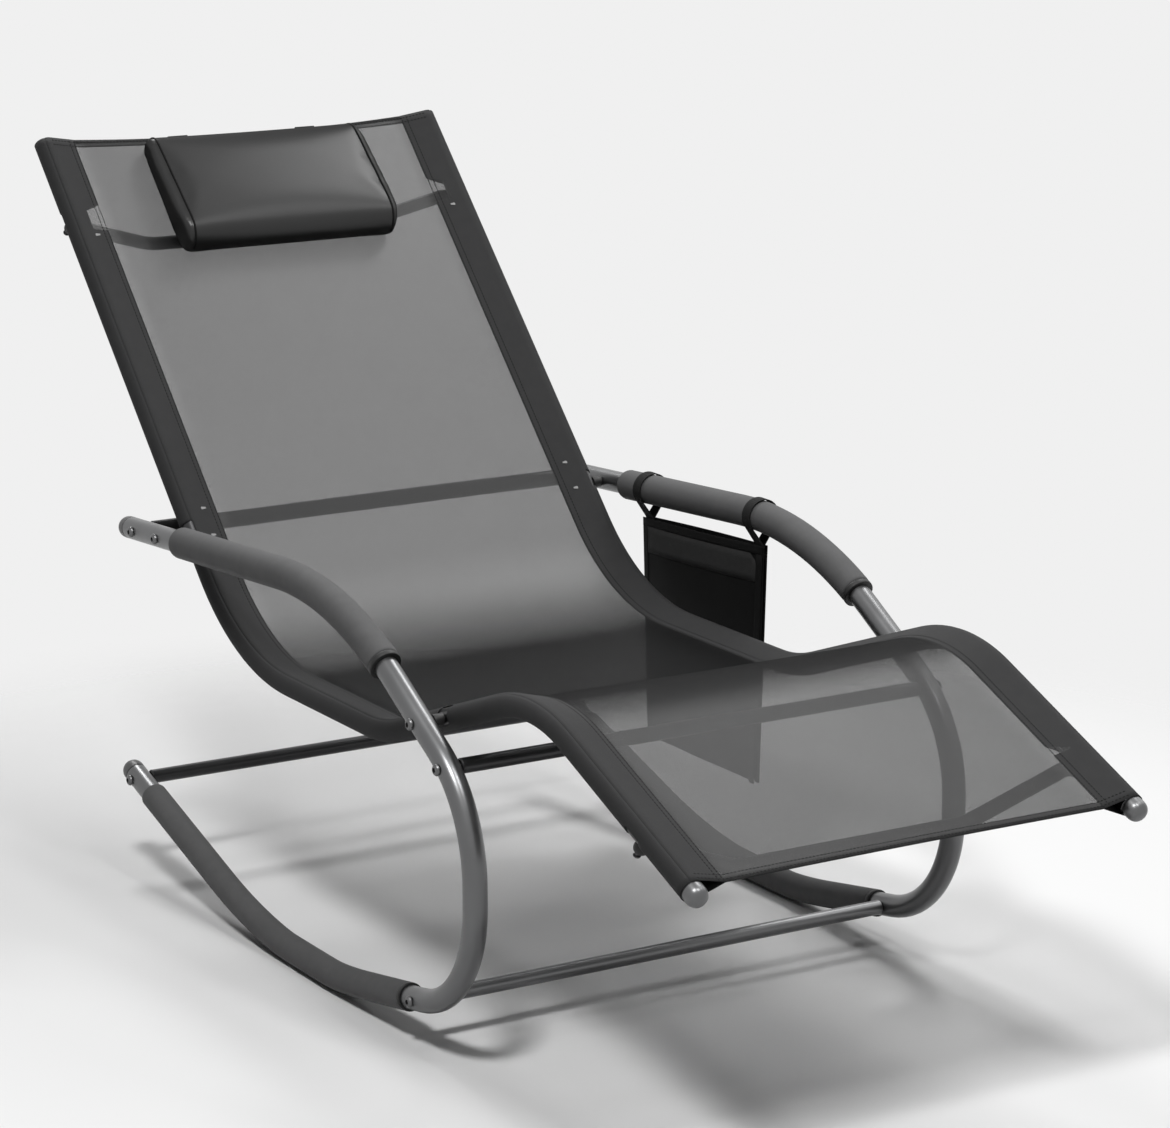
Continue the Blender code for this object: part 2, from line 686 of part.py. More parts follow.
def sling_section():
    """Half section as (x, height above the rail centre), from the hem's under layer to the middle."""
    wrap_turn = math.pi / WRAP_SEGMENTS
    wrap_r = (RAIL_R + GAP) / math.cos(wrap_turn * 0.62)
    edge_x = RAIL_X - HEM_WIDTH
    edge = Vector((edge_x, sheet_height(edge_x, wrap_r) - HEM_LAYER_GAP))
    toward = math.atan2(edge.y, RAIL_X - edge.x)
    reach = math.hypot(RAIL_X - edge.x, edge.y)
    low_angle = toward - math.acos(wrap_r / reach)
    high_angle = math.pi / 2 - math.atan(2 * SLING_SAG / RAIL_X)
    sweep = 2 * math.pi - (high_angle - low_angle)
    columns = [edge]
    for k in range(WRAP_SEGMENTS + 1):
        angle = low_angle - sweep * k / WRAP_SEGMENTS
        columns.append(Vector((RAIL_X - wrap_r * math.cos(angle), wrap_r * math.sin(angle))))
    columns.append(Vector((edge_x, sheet_height(edge_x, wrap_r))))
    for k in range(1, MESH_SEGMENTS + 1):
        x = edge_x * (1 - k / MESH_SEGMENTS)
        columns.append(Vector((x, sheet_height(x, wrap_r))))
    return columns


def sheet_height(x, wrap_r):
    """Height of the mesh above the rail's centre, sagging between the rails."""
    return wrap_r - SLING_SAG * (1 - (x / RAIL_X) ** 2)


def sling_slots():
    """Slots cut in the hem, as (station, half length, first and last removed strip)."""
    slots = [(s, BRACE_SLOT_HALF, 0, 3) for s in brace_stations()]
    for mount in (FRONT_MOUNT, REAR_MOUNT):
        slots.append((distance_of_y(RAIL_LINE, mount.x), BOLT_SLOT_HALF, 3, 5))
    return slots


def sling_rows(slots):
    """Distances along the rail at which the sling has a row of points."""
    rows = set()
    for mark in lengths_along(RAIL_LINE):
        if SLING_FOOT_INSET + CLOTH < mark < SLING_TOTAL - CLOTH:
            rows.add(mark)
    for station, half, _, _ in slots:
        rows.update((station - half, station + half))
    rows.update((SLING_FOOT_INSET, SLING_TOTAL))
    return sorted(rows)


def row_normal(distance):
    """Upper normal at a row; at a bend it halves the angle between the two straights."""
    before = on_path(RAIL_LINE, max(distance - CLOTH, 0.0))[1]
    after = on_path(RAIL_LINE, min(distance + CLOTH, SLING_TOTAL))[1]
    return -under((before + after).normalized())


def hem_bow(row, last, x):
    """How far the free edge at the head or the foot is drawn in between the rails."""
    share = max(0.0, 1 - (x / (RAIL_X - HEM_WIDTH)) ** 2)
    if row == last:
        return -TOP_HEM_BOW * share
    return FOOT_HEM_BOW * share if row == 0 else 0.0


def make_sling(materials, parts):
    half = sling_section()
    section = half + [Vector((-p.x, p.y)) for p in reversed(half[:-1])]
    slots = sling_slots()
    rows = sling_rows(slots)
    strips = len(section) - 1
    sheet = bmesh.new()
    bmesh.ops.create_grid(sheet, x_segments=strips, y_segments=len(rows) - 1, size=0.5)
    place = {}
    for vertex in sheet.verts:
        column = round((vertex.co.x + 0.5) * strips)
        row = round((vertex.co.y + 0.5) * (len(rows) - 1))
        place[vertex] = (column, row)
    removed = []
    for face in sheet.faces:
        strip = min(place[v][0] for v in face.verts)
        strip = min(strip, strips - 1 - strip)
        row = min(place[v][1] for v in face.verts)
        middle = (rows[row] + rows[row + 1]) / 2
        for station, reach, first, last in slots:
            if abs(middle - station) < reach and first <= strip <= last:
                removed.append(face)
    for vertex, (column, row) in place.items():
        centre, way = on_path(RAIL_LINE, rows[row])
        up = row_normal(rows[row])
        point = centre + up * section[column].y + way * hem_bow(row, len(rows) - 1, section[column].x)
        vertex.co = in_space(section[column].x, point)
    bmesh.ops.delete(sheet, geom=removed, context="FACES")
    mesh = bpy.data.meshes.new("sling")
    sheet.to_mesh(mesh)
    sheet.free()
    sling = add_object("sling", mesh, materials["mesh"], parts)
    solidify(sling, CLOTH, -1.0)
    smooth(sling)


# Head pillow, laid on the sling and hung over its top edge by two straps

def on_back(x, down, above):
    """Point on the back: x, distance down from the sling's top edge, height above the rail's centre."""
    point = RAIL_LINE[-1] - BACK_WAY * down - under(BACK_WAY) * above
    return in_space(x, point)


def sheet_top(x):
    """Height of the sling's upper face above the rail's centre."""
    return max(p.y for p in sling_section()) - SLING_SAG * (1 - (x / RAIL_X) ** 2) + CLOTH


def pillow_point(u, v, w):
    """Pillow surface from a cube point: u along X, v down the back, w up from the sling, each -1 to 1."""
    waist_u = PILLOW_WAIST * (1 - v * v)
    waist_v = PILLOW_WAIST * (1 - u * u)
    x = u * (PILLOW_LENGTH / 2 - waist_u)
    down = PILLOW_FROM_HEAD + PILLOW_HEIGHT * (1 + v) / 2 - v * waist_v
    thick = PILLOW_THICK_TOP + (PILLOW_THICK_LOW - PILLOW_THICK_TOP) * (1 + v) / 2
    crown = PILLOW_CROWN * (1 - u * u) * (1 - v * v)
    back = sheet_top(x) + PILLOW_SEAT
    front = sheet_top(PILLOW_LENGTH / 2) + thick + crown
    return on_back(x, down, back + (front - back) * (1 + w) / 2)


def make_pillow(materials, parts):
    cage = bmesh.new()
    bmesh.ops.create_cube(cage, size=2.0)
    bmesh.ops.subdivide_edges(cage, edges=cage.edges, cuts=PILLOW_CUTS, use_grid_fill=True)
    for vertex in cage.verts:
        vertex.co = pillow_point(*vertex.co)
    bmesh.ops.recalc_face_normals(cage, faces=cage.faces)
    mesh = bpy.data.meshes.new("pillow")
    cage.to_mesh(mesh)
    cage.free()
    pillow = add_object("pillow", mesh, materials["leather"], parts)
    rounding = pillow.modifiers.new("rounding", "SUBSURF")
    rounding.levels = 1
    rounding.render_levels = 1
    smooth(pillow)
    return pillow


def flat_piece(name, outlines, thickness, material, parts):
    """A flat outline, with any holes, given thickness along local Z."""
    data = bpy.data.curves.new(name, "CURVE")
    data.dimensions = "2D"
    data.fill_mode = "BOTH"
    data.extrude = thickness / 2
    for outline in outlines:
        spline = data.splines.new("POLY")
        spline.points.add(len(outline) - 1)
        for k, (a, b) in enumerate(outline):
            spline.points[k].co = (a, b, 0.0, 1.0)
        spline.use_cyclic_u = True
    return add_object(name, data, material, parts)


def make_pillow_straps(materials, parts):
    """Two bands from the pillow's top edge over the sling's top edge and down its back."""
    top = sheet_top(STRAP_X)
    below = top - SLING_SAG * (STRAP_X / RAIL_X) ** 2 - CLOTH
    front = top + PILLOW_LIFT_CLEAR
    rear = below - PILLOW_LIFT_CLEAR
    ridge = TOP_HEM_BOW * (1 - (STRAP_X / (RAIL_X - HEM_WIDTH)) ** 2) - PILLOW_LIFT_CLEAR
    pillow_top = PILLOW_FROM_HEAD - GAP
    outline = [
        (front, pillow_top),
        (front, ridge),
        (rear, ridge),
        (rear, STRAP_TAIL),
        (rear - STRAP_THICK, STRAP_TAIL),
        (rear - STRAP_THICK, ridge - STRAP_THICK),
        (front + STRAP_THICK, ridge - STRAP_THICK),
        (front + STRAP_THICK, pillow_top),
    ]
    straps = []
    for side, sign in SIDES:
        strap = flat_piece(f"{side}_pillow_strap", [outline], STRAP_WIDTH, materials["webbing"], parts)
        above_axis = -in_space(0.0, under(BACK_WAY))
        down_axis = -in_space(0.0, BACK_WAY)
        turn = Matrix((above_axis, down_axis, above_axis.cross(down_axis))).transposed().to_4x4()
        strap.matrix_world = Matrix.Translation(on_back(sign * STRAP_X, 0.0, 0.0)) @ turn
        straps.append(strap)
    return straps


# Side bag, hung from the left arm sleeve by two strap loops that are sewn into its top corners

BAG_END_DEPTH = 2 * (BAG_STRAP_THICK + GAP + BAG_WALL)
BAG_STRAP_INSET = BAG_WALL + BAG_STRAP_PLAY + BAG_STRAP_WIDTH / 2
BAG_STRAP_PLACES = (BAG_FRONT_Y + BAG_STRAP_INSET, BAG_FRONT_Y + BAG_WIDTH - BAG_STRAP_INSET)


def arm_centre(y):
    """Point on the left arm's centreline."""
    arm_line = ARM_PATH[::-1]
    return in_space(FRAME_X, on_path(arm_line, distance_of_y(arm_line, y))[0])


def bag_hook(y):
    """Point on the line through the middles of the two strap loops, on which the bag swings."""
    front, rear = (arm_centre(place) for place in BAG_STRAP_PLACES)
    return front.lerp(rear, (y - front.y) / (rear.y - front.y))


def bag_point(u, v, w):
    """Bag surface from a cube point: u across, v front to rear, w bottom to top, each -1 to 1."""
    rise = (1 + w) / 2
    inset = BAG_TAPER * (1 - rise)
    y = BAG_FRONT_Y + inset + (BAG_WIDTH - 2 * inset) * (1 + v) / 2
    drop = ARM_SLEEVE_R + BAG_BELOW_SLEEVE
    top = bag_hook(y).z - drop
    bottom = bag_hook(BAG_FRONT_Y).z - drop - BAG_HEIGHT
    swell = (BAG_MOUTH - BAG_END_DEPTH) * rise + (BAG_BELLY - BAG_MOUTH) * math.sin(math.pi * rise)
    depth = BAG_END_DEPTH + swell * (1 - v * v)
    return Vector((FRAME_X + u * depth / 2, y, bottom + (top - bottom) * rise))


def make_bag(materials, parts):
    cage = bmesh.new()
    bmesh.ops.create_cube(cage, size=2.0)
    lid = [face for face in cage.faces if face.normal.z > 0.5]
    bmesh.ops.delete(cage, geom=lid, context="FACES_ONLY")
    long_edges = [e for e in cage.edges if abs(e.verts[0].co.x - e.verts[1].co.x) < 1.0]
    bmesh.ops.subdivide_edges(cage, edges=long_edges, cuts=BAG_CUTS, use_grid_fill=True)
    for vertex in cage.verts:
        vertex.co = bag_point(*vertex.co)
    mesh = bpy.data.meshes.new("side_bag")
    cage.to_mesh(mesh)
    cage.free()
    bag = add_object("side_bag", mesh, materials["bag"], parts)
    solidify(bag, BAG_WALL, -1.0)
    smooth(bag)
    return bag


def loop_outline(radius, neck, foot):
    """A circle drawn out by two straight legs to a neck this far either side of the middle."""
    meet = Vector((neck, foot))
    reach = meet.length
    lean = math.atan2(meet.y, meet.x) + math.acos(radius / reach)
    sweep = math.pi - 2 * lean
    points = [(neck, foot)]
    for k in range(LOOP_SEGMENTS + 1):
        angle = lean + sweep * k / LOOP_SEGMENTS
        points.append((radius * math.cos(angle), radius * math.sin(angle)))
    points.append((-neck, foot))
    return points


def make_bag_straps(materials, parts):
    """Two webbing loops round the arm sleeve, whose ends go down inside the bag's top corners."""
    inner = (ARM_SLEEVE_R + BAG_STRAP_CLEAR) / math.cos(math.pi / LOOP_SEGMENTS)
    outer = inner + BAG_STRAP_THICK
    joined = -ARM_SLEEVE_R - BAG_BELOW_SLEEVE
    foot = joined - BAG_STRAP_LAP
    outline = loop_outline(outer, BAG_STRAP_THICK, joined)
    outline = [(BAG_STRAP_THICK, foot), *outline, (-BAG_STRAP_THICK, foot)]
    hole = loop_outline(inner, GAP, joined + BAG_STRAP_THICK)
    turn = Matrix.Rotation(math.radians(90), 4, "X")
    straps = []
    for name, y in zip(("bag_front_strap", "bag_rear_strap"), BAG_STRAP_PLACES):
        strap = flat_piece(name, [outline, hole], BAG_STRAP_WIDTH, materials["webbing"], parts)
        strap.matrix_world = Matrix.Translation(arm_centre(y)) @ turn
        straps.append(strap)
    return straps


def carry(name, place, pieces, collection):
    """Parent pieces to an empty that stands on their joint, keeping them where they are."""
    pivot = bpy.data.objects.new(name, None)
    pivot.location = place
    collection.objects.link(pivot)
    bpy.context.view_layer.update()
    for piece in pieces:
        world = piece.matrix_world.copy()
        piece.parent = pivot
        piece.matrix_parent_inverse = pivot.matrix_world.inverted()
        piece.matrix_world = world


def main():
    empty_scene()
    parts = new_collection("rocking_lounger")
    cutters = new_collection("cutters")
    materials = {
        "tube": principled("gunmetal_tube", (0.075, 0.076, 0.078), 0.32, 0.85),
        "sleeve": principled("grey_foam_sleeve", (0.070, 0.070, 0.071), 0.75),
        "rubber": principled("black_rubber", (0.012, 0.012, 0.012), 0.60),
        "cap": principled("dark_plastic_cap", (0.050, 0.050, 0.051), 0.50),
        "steel": principled("dark_steel_bolt", (0.110, 0.110, 0.112), 0.35, 1.0),
        "mesh": principled("textilene_mesh", (0.045, 0.045, 0.046), 0.70),
        "leather": principled("black_leatherette", (0.012, 0.012, 0.012), 0.40),
        "bag": principled("black_bag_cloth", (0.010, 0.010, 0.010), 0.85),
        "webbing": principled("black_webbing", (0.014, 0.014, 0.014), 0.80),
    }
    for side, sign in SIDES:
        make_runner(side, sign, materials, parts, cutters)
        make_arm(side, sign, materials, parts, cutters)
        make_sleeves(side, sign, materials, parts)
        make_rail(side, sign, materials, parts, cutters)
    make_crossbars(materials, parts)
    make_braces(materials, parts, cutters)
    make_bolts(materials, parts)
    make_rail_mounts(materials, parts)
    make_brace_screws(materials, parts)
    make_sling(materials, parts)
    pillow = make_pillow(materials, parts)
    carry("pillow_slide", on_back(0.0, 0.0, 0.0), [pillow, *make_pillow_straps(materials, parts)], parts)
    bag = make_bag(materials, parts)
    swing_place = bag_hook(BAG_FRONT_Y + BAG_WIDTH / 2)
    carry("bag_swing", swing_place, [bag, *make_bag_straps(materials, parts)], parts)


main()
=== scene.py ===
"""Looks of the sling rocking lounger: fine tubes, sleeves and fasteners, the see-through sling,
the padded head pillow and the cloth side bag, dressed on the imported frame."""

import math

import bmesh
import bpy
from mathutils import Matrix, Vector
from mathutils.bvhtree import BVHTree


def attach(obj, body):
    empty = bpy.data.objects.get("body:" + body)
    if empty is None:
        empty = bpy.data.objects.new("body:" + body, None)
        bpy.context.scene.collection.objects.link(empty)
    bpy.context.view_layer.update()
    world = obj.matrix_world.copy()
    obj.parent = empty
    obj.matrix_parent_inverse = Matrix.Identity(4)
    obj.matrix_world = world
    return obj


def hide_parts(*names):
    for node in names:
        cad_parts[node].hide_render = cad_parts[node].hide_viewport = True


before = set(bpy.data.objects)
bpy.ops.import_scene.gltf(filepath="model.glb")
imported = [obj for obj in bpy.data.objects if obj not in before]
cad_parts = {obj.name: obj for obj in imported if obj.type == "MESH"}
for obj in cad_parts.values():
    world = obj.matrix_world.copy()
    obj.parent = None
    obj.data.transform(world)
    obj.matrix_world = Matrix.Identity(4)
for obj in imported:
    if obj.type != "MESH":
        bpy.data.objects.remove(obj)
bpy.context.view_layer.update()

# Sizes of the solids, in metres and degrees
GAP = 0.0003
FRAME_X = 0.290
FRAME_TUBE_R = 0.0125
RUNNER_BEND_R = 0.710
RUNNER_LOW_Y = -0.006
RUNNER_REST_HALF = 4.4
RUNNER_REAR_RISE = 17.1
RUNNER_FRONT_RISE = 10.1
RUNNER_REAR_Y = 0.440
UPRIGHT_Y = -0.365
UPRIGHT_TOP_Z = 0.277
FOOT_BEND_R = 0.130
UPRIGHT_BEND_R = 0.140
ARM_RISE = 30.0
ARM_FALL = 3.8
ARM_BEND_R = 0.440
ARM_REAR_Y = 0.434
ARM_REAR_Z = 0.4020
FRAME_JOINT_Y = -0.202
RUNNER_SLEEVE_R = 0.0150
RUNNER_SLEEVE_REAR_Y = 0.378
RUNNER_SLEEVE_FRONT_Y = -0.226
ARM_SLEEVE_R = 0.0175
ARM_SLEEVE_REAR_Y = 0.285
ARM_SLEEVE_FRONT_Y = -0.181
RING_LENGTH = 0.006
CAP_REACH = 0.018
RAIL_X = 0.254
RAIL_R = 0.0115
SEAT_Z = 0.288
SEAT_FRONT_Y = -0.1205
SEAT_REAR_Y = 0.212
SEAT_RISE = 19.95
KNEE_Y = -0.420
LEG_FALL = 22.25
LEG_LENGTH = 0.3210
BACK_RISE = 45.9
BACK_LENGTH = 0.7165
KNEE_BEND_R = 0.185
SEAT_FRONT_BEND_R = 0.200
SEAT_REAR_BEND_R = 0.270
BASE_BAR_R = 0.0080
BACK_BAR_R = 0.0095
REAR_BAR_Y = 0.412
FRONT_BAR_Y = -0.252
SEAT_BAR_TURN = 51.0
BACK_BAR_Y = 0.391
BRACE_R = 0.0080
BRACE_FROM_END = 0.108
BRACE_DROP = 0.067
BRACE_FLAT_HALF = 0.135
BRACE_SEAT_INSIDE = 0.012
BRACE_OVERHANG = 0.005
BRACE_BEND_R = 0.070
BRACE_SEAT_BEND_R = 0.020
BOLT_R = 0.0030
BOLT_HEAD_R = 0.0062
BOLT_HEAD_H = 0.0036
BOLT_GRIP = 0.014
SPACER_R = 0.0065
SCREW_R = 0.0020
SCREW_HEAD_R = 0.0040
SCREW_HEAD_H = 0.0022
SCREW_GRIP = 0.010
SLING_SAG = 0.010
TOP_HEM_BOW = 0.008
FOOT_HEM_BOW = 0.003
SLING_FOOT_INSET = 0.0170
SLING_HEAD_OVER = 0.0010
SHEET_TOP = 0.01345
PILLOW_LENGTH = 0.288
PILLOW_HEIGHT = 0.166
PILLOW_FROM_HEAD = 0.016
PILLOW_THICK_LOW = 0.039
PILLOW_THICK_TOP = 0.026
PILLOW_CROWN = 0.006
PILLOW_SEAT = 0.0005
STRAP_X = 0.085
STRAP_WIDTH = 0.025
STRAP_TAIL = 0.070
STRAP_CLEAR = 0.0006
BAG_FRONT_Y = -0.003
BAG_WIDTH = 0.250
BAG_HEIGHT = 0.280
BAG_TAPER = 0.012
BAG_BELOW_SLEEVE = 0.016
BAG_MOUTH = 0.014
BAG_BELLY = 0.022
BAG_WALL = 0.0012
BAG_END_DEPTH = 0.006
BAG_STRAP_INSET = 0.0097
BAG_STRAP_WIDTH = 0.015
BAG_STRAP_THICK = 0.0015
BAG_STRAP_LAP = 0.014
BAG_STRAP_CLEAR = 0.0010

# Fineness and small details of the tubes and fasteners
BEND_STEP = 2.0
RUNNER_STEP = 0.67
TUBE_SIDES = 32
SMALL_SIDES = 24
SHARP_ANGLE = 38.0
EDGE_ROUND = 0.0012
EDGE_TURNS = tuple(math.radians(a) for a in range(0, 91, 30))
SPACER_ROUND = 0.0008
REST_EASE = 0.0004
DOME_TURNS = tuple(math.radians(a) for a in range(0, 90, 15))
DOME_SHARE = 0.9
DOME_POWER = 0.75
CAP_LIP = 0.0004
SOCKET_R_SHARE = 0.48
SOCKET_FLOOR = 0.35
SOCKET_RIM = 0.97
HEAD_CURVE = ((0.62, 0.95), (0.82, 0.75), (0.96, 0.45), (1.0, 0.2), (1.0, 0.0))

# Details of the sling
SHEET_THICK = 0.00017
WRAP_R = 0.0124
WRAP_STEPS = 32
GROOVE_STEP = 27
GROOVE_DEPTH = 0.0007
MESH_STEPS = 14
ROW_STEP = 0.008
ROW_LEAST = 0.0004
HEM_CLOSE = 0.0007
HEM_REACH = 0.0355
HEM_HEIGHT = 0.0036
SHEET_LOW = 0.0024
BOW_REACH = 0.080
HEM_STEPS = 8
WINDOW_BELOW = (0.004, 0.024)
WINDOW_ABOVE = (0.010, 0.014)
WINDOW_SIDES = ((1,), (-1, 1))
WINDOW_SLOPE = 0.012
WINDOW_REACH = 0.65
BRACE_SLOT_HALF = 0.012
BOLT_SLOT_HALF = 0.011
BOLT_SLOT_ROUND = (0.375, 0.875)
END_HEM_WIDTH = 0.011
END_HEM_STEPS = 2
END_STITCH_ROWS = (0.35, 0.92)
STITCH_PITCH = 0.0042
STITCH_LENGTH = 0.0039
STITCH_START = 0.2
STITCH_R = 0.0009
STITCH_FLAT = 0.25
STITCH_ROWS = (0.0012, 0.0070)
TACK_LENGTH = 0.010
TACK_WIDTH = 0.0018
TACK_THREADS = 5
TACK_INSET = 0.019
TACK_BELOW_BRACE = 0.032
TACKS_BY_BAR = (-0.098, -0.062)
MESH_PITCH = 0.0012
MESH_OPEN = 0.70
MESH_SOFT = 0.07
MESH_GLOSS = 0.032
MESH_GLOSS_ROUGH = 0.33

# Details of the pillow, the bag and their straps
PILLOW_ROUNDS = (0.010, 0.023, 0.018, 0.006)
PILLOW_END_DEPTH = 0.013
PILLOW_END_STEPS = (0.3, 0.55, 0.75, 0.9, 0.98)
PILLOW_END_POWER = 3
PILLOW_POINTS = 72
PILLOW_STATIONS = 24
PILLOW_INSET = 0.0015
PAD_CLEAR = 0.0010
PILLOW_VOXEL = 0.004
PILLOW_PRESSURE = 4.0
PILLOW_STIFFNESS = (("tension", 60.0), ("compression", 60.0), ("shear", 30.0), ("bending", 15.0))
PILLOW_FRAMES = 12
PILLOW_CAP = 0.005
PILLOW_EASE = 0.5
PILLOW_EASE_ROUNDS = 4
LEATHER_GLOSS = 0.034
LEATHER_GLOSS_ROUGH = 0.34
PIPING_R = 0.0013
PIPING_SIDES = 10
PIPING_SPAN = (0.25, 0.75)
PIPING_STEPS = 60
PIPING_FROM_SIZE = 1.02
PIPING_PROUD = 0.35
PIPING_EASE_ROUNDS = 4
BAND_THICK = 0.0010
STRAP_TAIL_STEPS = 4
STRAP_TURN_STEPS = 8
STRAP_UNDER_PAD = 0.004
BAG_CUTS = 12
BAG_WAVE = 0.0008
BAG_RIPPLES = ((1.0, 5.2, 2.1, 0.6), (0.6, 9.1, -3.3, 0.0))
BINDING = 0.010
TOP_BINDING_LIFT = 0.0007
SIDE_BINDING_LIFT = 0.0006
PANEL_HEIGHT = 0.033
PANEL_LIFT = 0.0003
PANEL_CORNER = 0.055
PANEL_CORNER_FROM = 0.4
PATCH_THICK = 0.0007
PATCH_STEPS = 12
PATCH_STEPS_LEAST = 4
LOOP_STEPS = 40

# Camera, lamps and floor; a lamp is its name, azimuth, elevation, size and power
CAMERA_PLACE = Vector((-2.1044, -3.5688, 1.4098))
CAMERA_YAW = 31.20
CAMERA_PITCH = 13.56
CAMERA_LENS = 121.4
SENSOR_WIDTH = 36.0
BACKDROP = 0.871
WORLD_FILL = 0.06
FLOOR_COLOUR = 0.80
FLOOR_FADE = (0.85, 1.40)
FLOOR_MARGIN = 0.2
FLOOR_SIDES = 96
FLOOR_DROP = 0.0006
LAMP_AIM = Vector((0.0, 0.0, 0.3))
LAMP_REACH = 3.0
LAMPS = (
    ("front", -86.0, 58.0, 0.5, 26.0),
    ("left_front", -140.0, 56.0, 0.5, 50.0),
    ("behind", 84.0, 44.0, 0.6, 28.0),
    ("right", 25.0, 54.0, 0.9, 27.0),
    ("right_low", 5.0, 28.0, 1.2, 7.0),
    ("right_front", -26.0, 52.0, 1.2, 13.0),
)

SIDES = (("right", -1), ("left", 1))
ACROSS = Vector((1.0, 0.0, 0.0))
ALONG = Vector((0.0, 1.0, 0.0))
UP = Vector((0.0, 0.0, 1.0))


# Lines in the side plane, as Vector((y, z))

def direction(angle):
    """Unit vector in the side plane, angle in degrees above +Y."""
    return Vector((math.cos(math.radians(angle)), math.sin(math.radians(angle))))


def crossing(point_a, way_a, point_b, way_b):
    """Where two lines in the side plane meet."""
    offset = point_b - point_a
    share = (offset.x * way_b.y - offset.y * way_b.x) / (way_a.x * way_b.y - way_a.y * way_b.x)
    return point_a + way_a * share


def at_y(point, way, y):
    """The point of a line in the side plane that has this y."""
    return point + way * ((y - point.x) / way.x)


def bent(corners, radii):
    """A polyline through corners, each inner corner rounded by its bend radius."""
    points = [corners[0]]
    for before, corner, after, radius in zip(corners, corners[1:], corners[2:], radii):
        to_before = (before - corner).normalized()
        to_after = (after - corner).normalized()
        turn = math.pi - to_before.angle(to_after)
        centre = corner + (to_before + to_after).normalized() * (radius / math.cos(turn / 2))
        start = corner + to_before * (radius * math.tan(turn / 2))
        spoke = start - centre
        heading = math.degrees(math.atan2(spoke.y, spoke.x))
        side = to_before.x * to_after.y - to_before.y * to_after.x
        swing = math.copysign(math.degrees(turn), -side)
        steps = max(2, math.ceil(math.degrees(turn) / BEND_STEP))
        points += [centre + direction(heading + swing * k / steps) * radius for k in range(steps + 1)]
    points.append(corners[-1])
    return points


def lengths_along(path):
    """Distance of each path point from the first."""
    total = [0.0]
    for a, b in zip(path, path[1:]):
        total.append(total[-1] + (b - a).length)
    return total


class Line:
    """A path with eased directions, read by the distance along it."""

    def __init__(self, points):
        self.points = points
        self.marks = lengths_along(points)
        legs = [(b - a).normalized() for a, b in zip(points, points[1:])]
        inner = [(a + b).normalized() for a, b in zip(legs, legs[1:])]
        self.ways = [legs[0], *inner, legs[-1]]
        self.total = self.marks[-1]

    def at(self, distance):
        """Point and unit direction; past its ends the path runs straight on."""
        k = 0
        while k < len(self.points) - 2 and distance > self.marks[k + 1]:
            k += 1
        span = self.marks[k + 1] - self.marks[k]
        share = (distance - self.marks[k]) / span
        point = self.points[k].lerp(self.points[k + 1], share)
        way = self.ways[k].lerp(self.ways[k + 1], min(1.0, max(0.0, share)))
        return point, way.normalized()

    def of_y(self, y):
        """Distance to the first point with this y."""
        for k, (a, b) in enumerate(zip(self.points, self.points[1:])):
            if min(a.x, b.x) <= y <= max(a.x, b.x) and a.x != b.x:
                return self.marks[k] + (b - a).length * (y - a.x) / (b.x - a.x)

    def between(self, start, end):
        """Distances of the path's own points inside a stretch, with the stretch's ends."""
        return [start, *[m for m in self.marks if start + GAP < m < end - GAP], end]


def in_space(x, point):
    """A point of the side plane put at a distance from the chair's middle."""
    return Vector((x, point.x, point.y))


def side_line(x, line):
    """A line of the side plane put at a distance from the chair's middle."""
    return Line([in_space(x, p) for p in line.points])


def under(way):
    """Unit normal on the lower side of a line that runs towards the head."""
    return Vector((way.y, -way.x))


RUNNER_CENTRE = Vector((
    RUNNER_LOW_Y,
    RUNNER_SLEEVE_R + RUNNER_BEND_R * math.cos(math.radians(RUNNER_REST_HALF)),
))
REAR_TANGENT = RUNNER_CENTRE + direction(-90 + RUNNER_REAR_RISE) * RUNNER_BEND_R
REAR_WAY = direction(RUNNER_REAR_RISE)
FRONT_TANGENT = RUNNER_CENTRE + direction(-90 - RUNNER_FRONT_RISE) * RUNNER_BEND_R
FRONT_WAY = direction(180 - RUNNER_FRONT_RISE)
ARM_WAY = direction(-ARM_FALL)
RISE_WAY = direction(ARM_RISE)
ARM_TIP = Vector((ARM_REAR_Y, ARM_REAR_Z))
RUNNER_TIP = at_y(REAR_TANGENT, REAR_WAY, RUNNER_REAR_Y)
UPRIGHT_FOOT = at_y(FRONT_TANGENT, FRONT_WAY, UPRIGHT_Y)
UPRIGHT_HEAD = Vector((UPRIGHT_Y, UPRIGHT_TOP_Z))
ARM_CORNER = crossing(UPRIGHT_HEAD, RISE_WAY, ARM_TIP, ARM_WAY)
FRAME_JOINT = at_y(FRONT_TANGENT, FRONT_WAY, FRAME_JOINT_Y)


def rest_height(z):
    """Height of the runner's centreline, eased onto the level stretch that the chair stands on."""
    return RUNNER_SLEEVE_R + REST_EASE * math.log1p(math.exp((z - RUNNER_SLEEVE_R) / REST_EASE))


def runner_points():
    """Runner centreline from the tip of its rear cap to the joint with the arm tube."""
    swing = RUNNER_REAR_RISE + RUNNER_FRONT_RISE
    steps = math.ceil(swing / RUNNER_STEP)
    points = [RUNNER_TIP]
    for k in range(steps + 1):
        angle = RUNNER_REAR_RISE - swing * k / steps
        point = RUNNER_CENTRE + direction(-90 + angle) * RUNNER_BEND_R
        points.append(Vector((point.x, rest_height(point.y))))
    points.append(FRAME_JOINT)
    return points


RUNNER = Line(runner_points())
ARM = Line(bent(
    [FRAME_JOINT, UPRIGHT_FOOT, UPRIGHT_HEAD, ARM_CORNER, ARM_TIP],
    [FOOT_BEND_R, UPRIGHT_BEND_R, ARM_BEND_R],
))
ARM_BACKWARD = Line(ARM.points[::-1])
SIDE_FRAME = Line(RUNNER.points[:-1] + ARM.points)

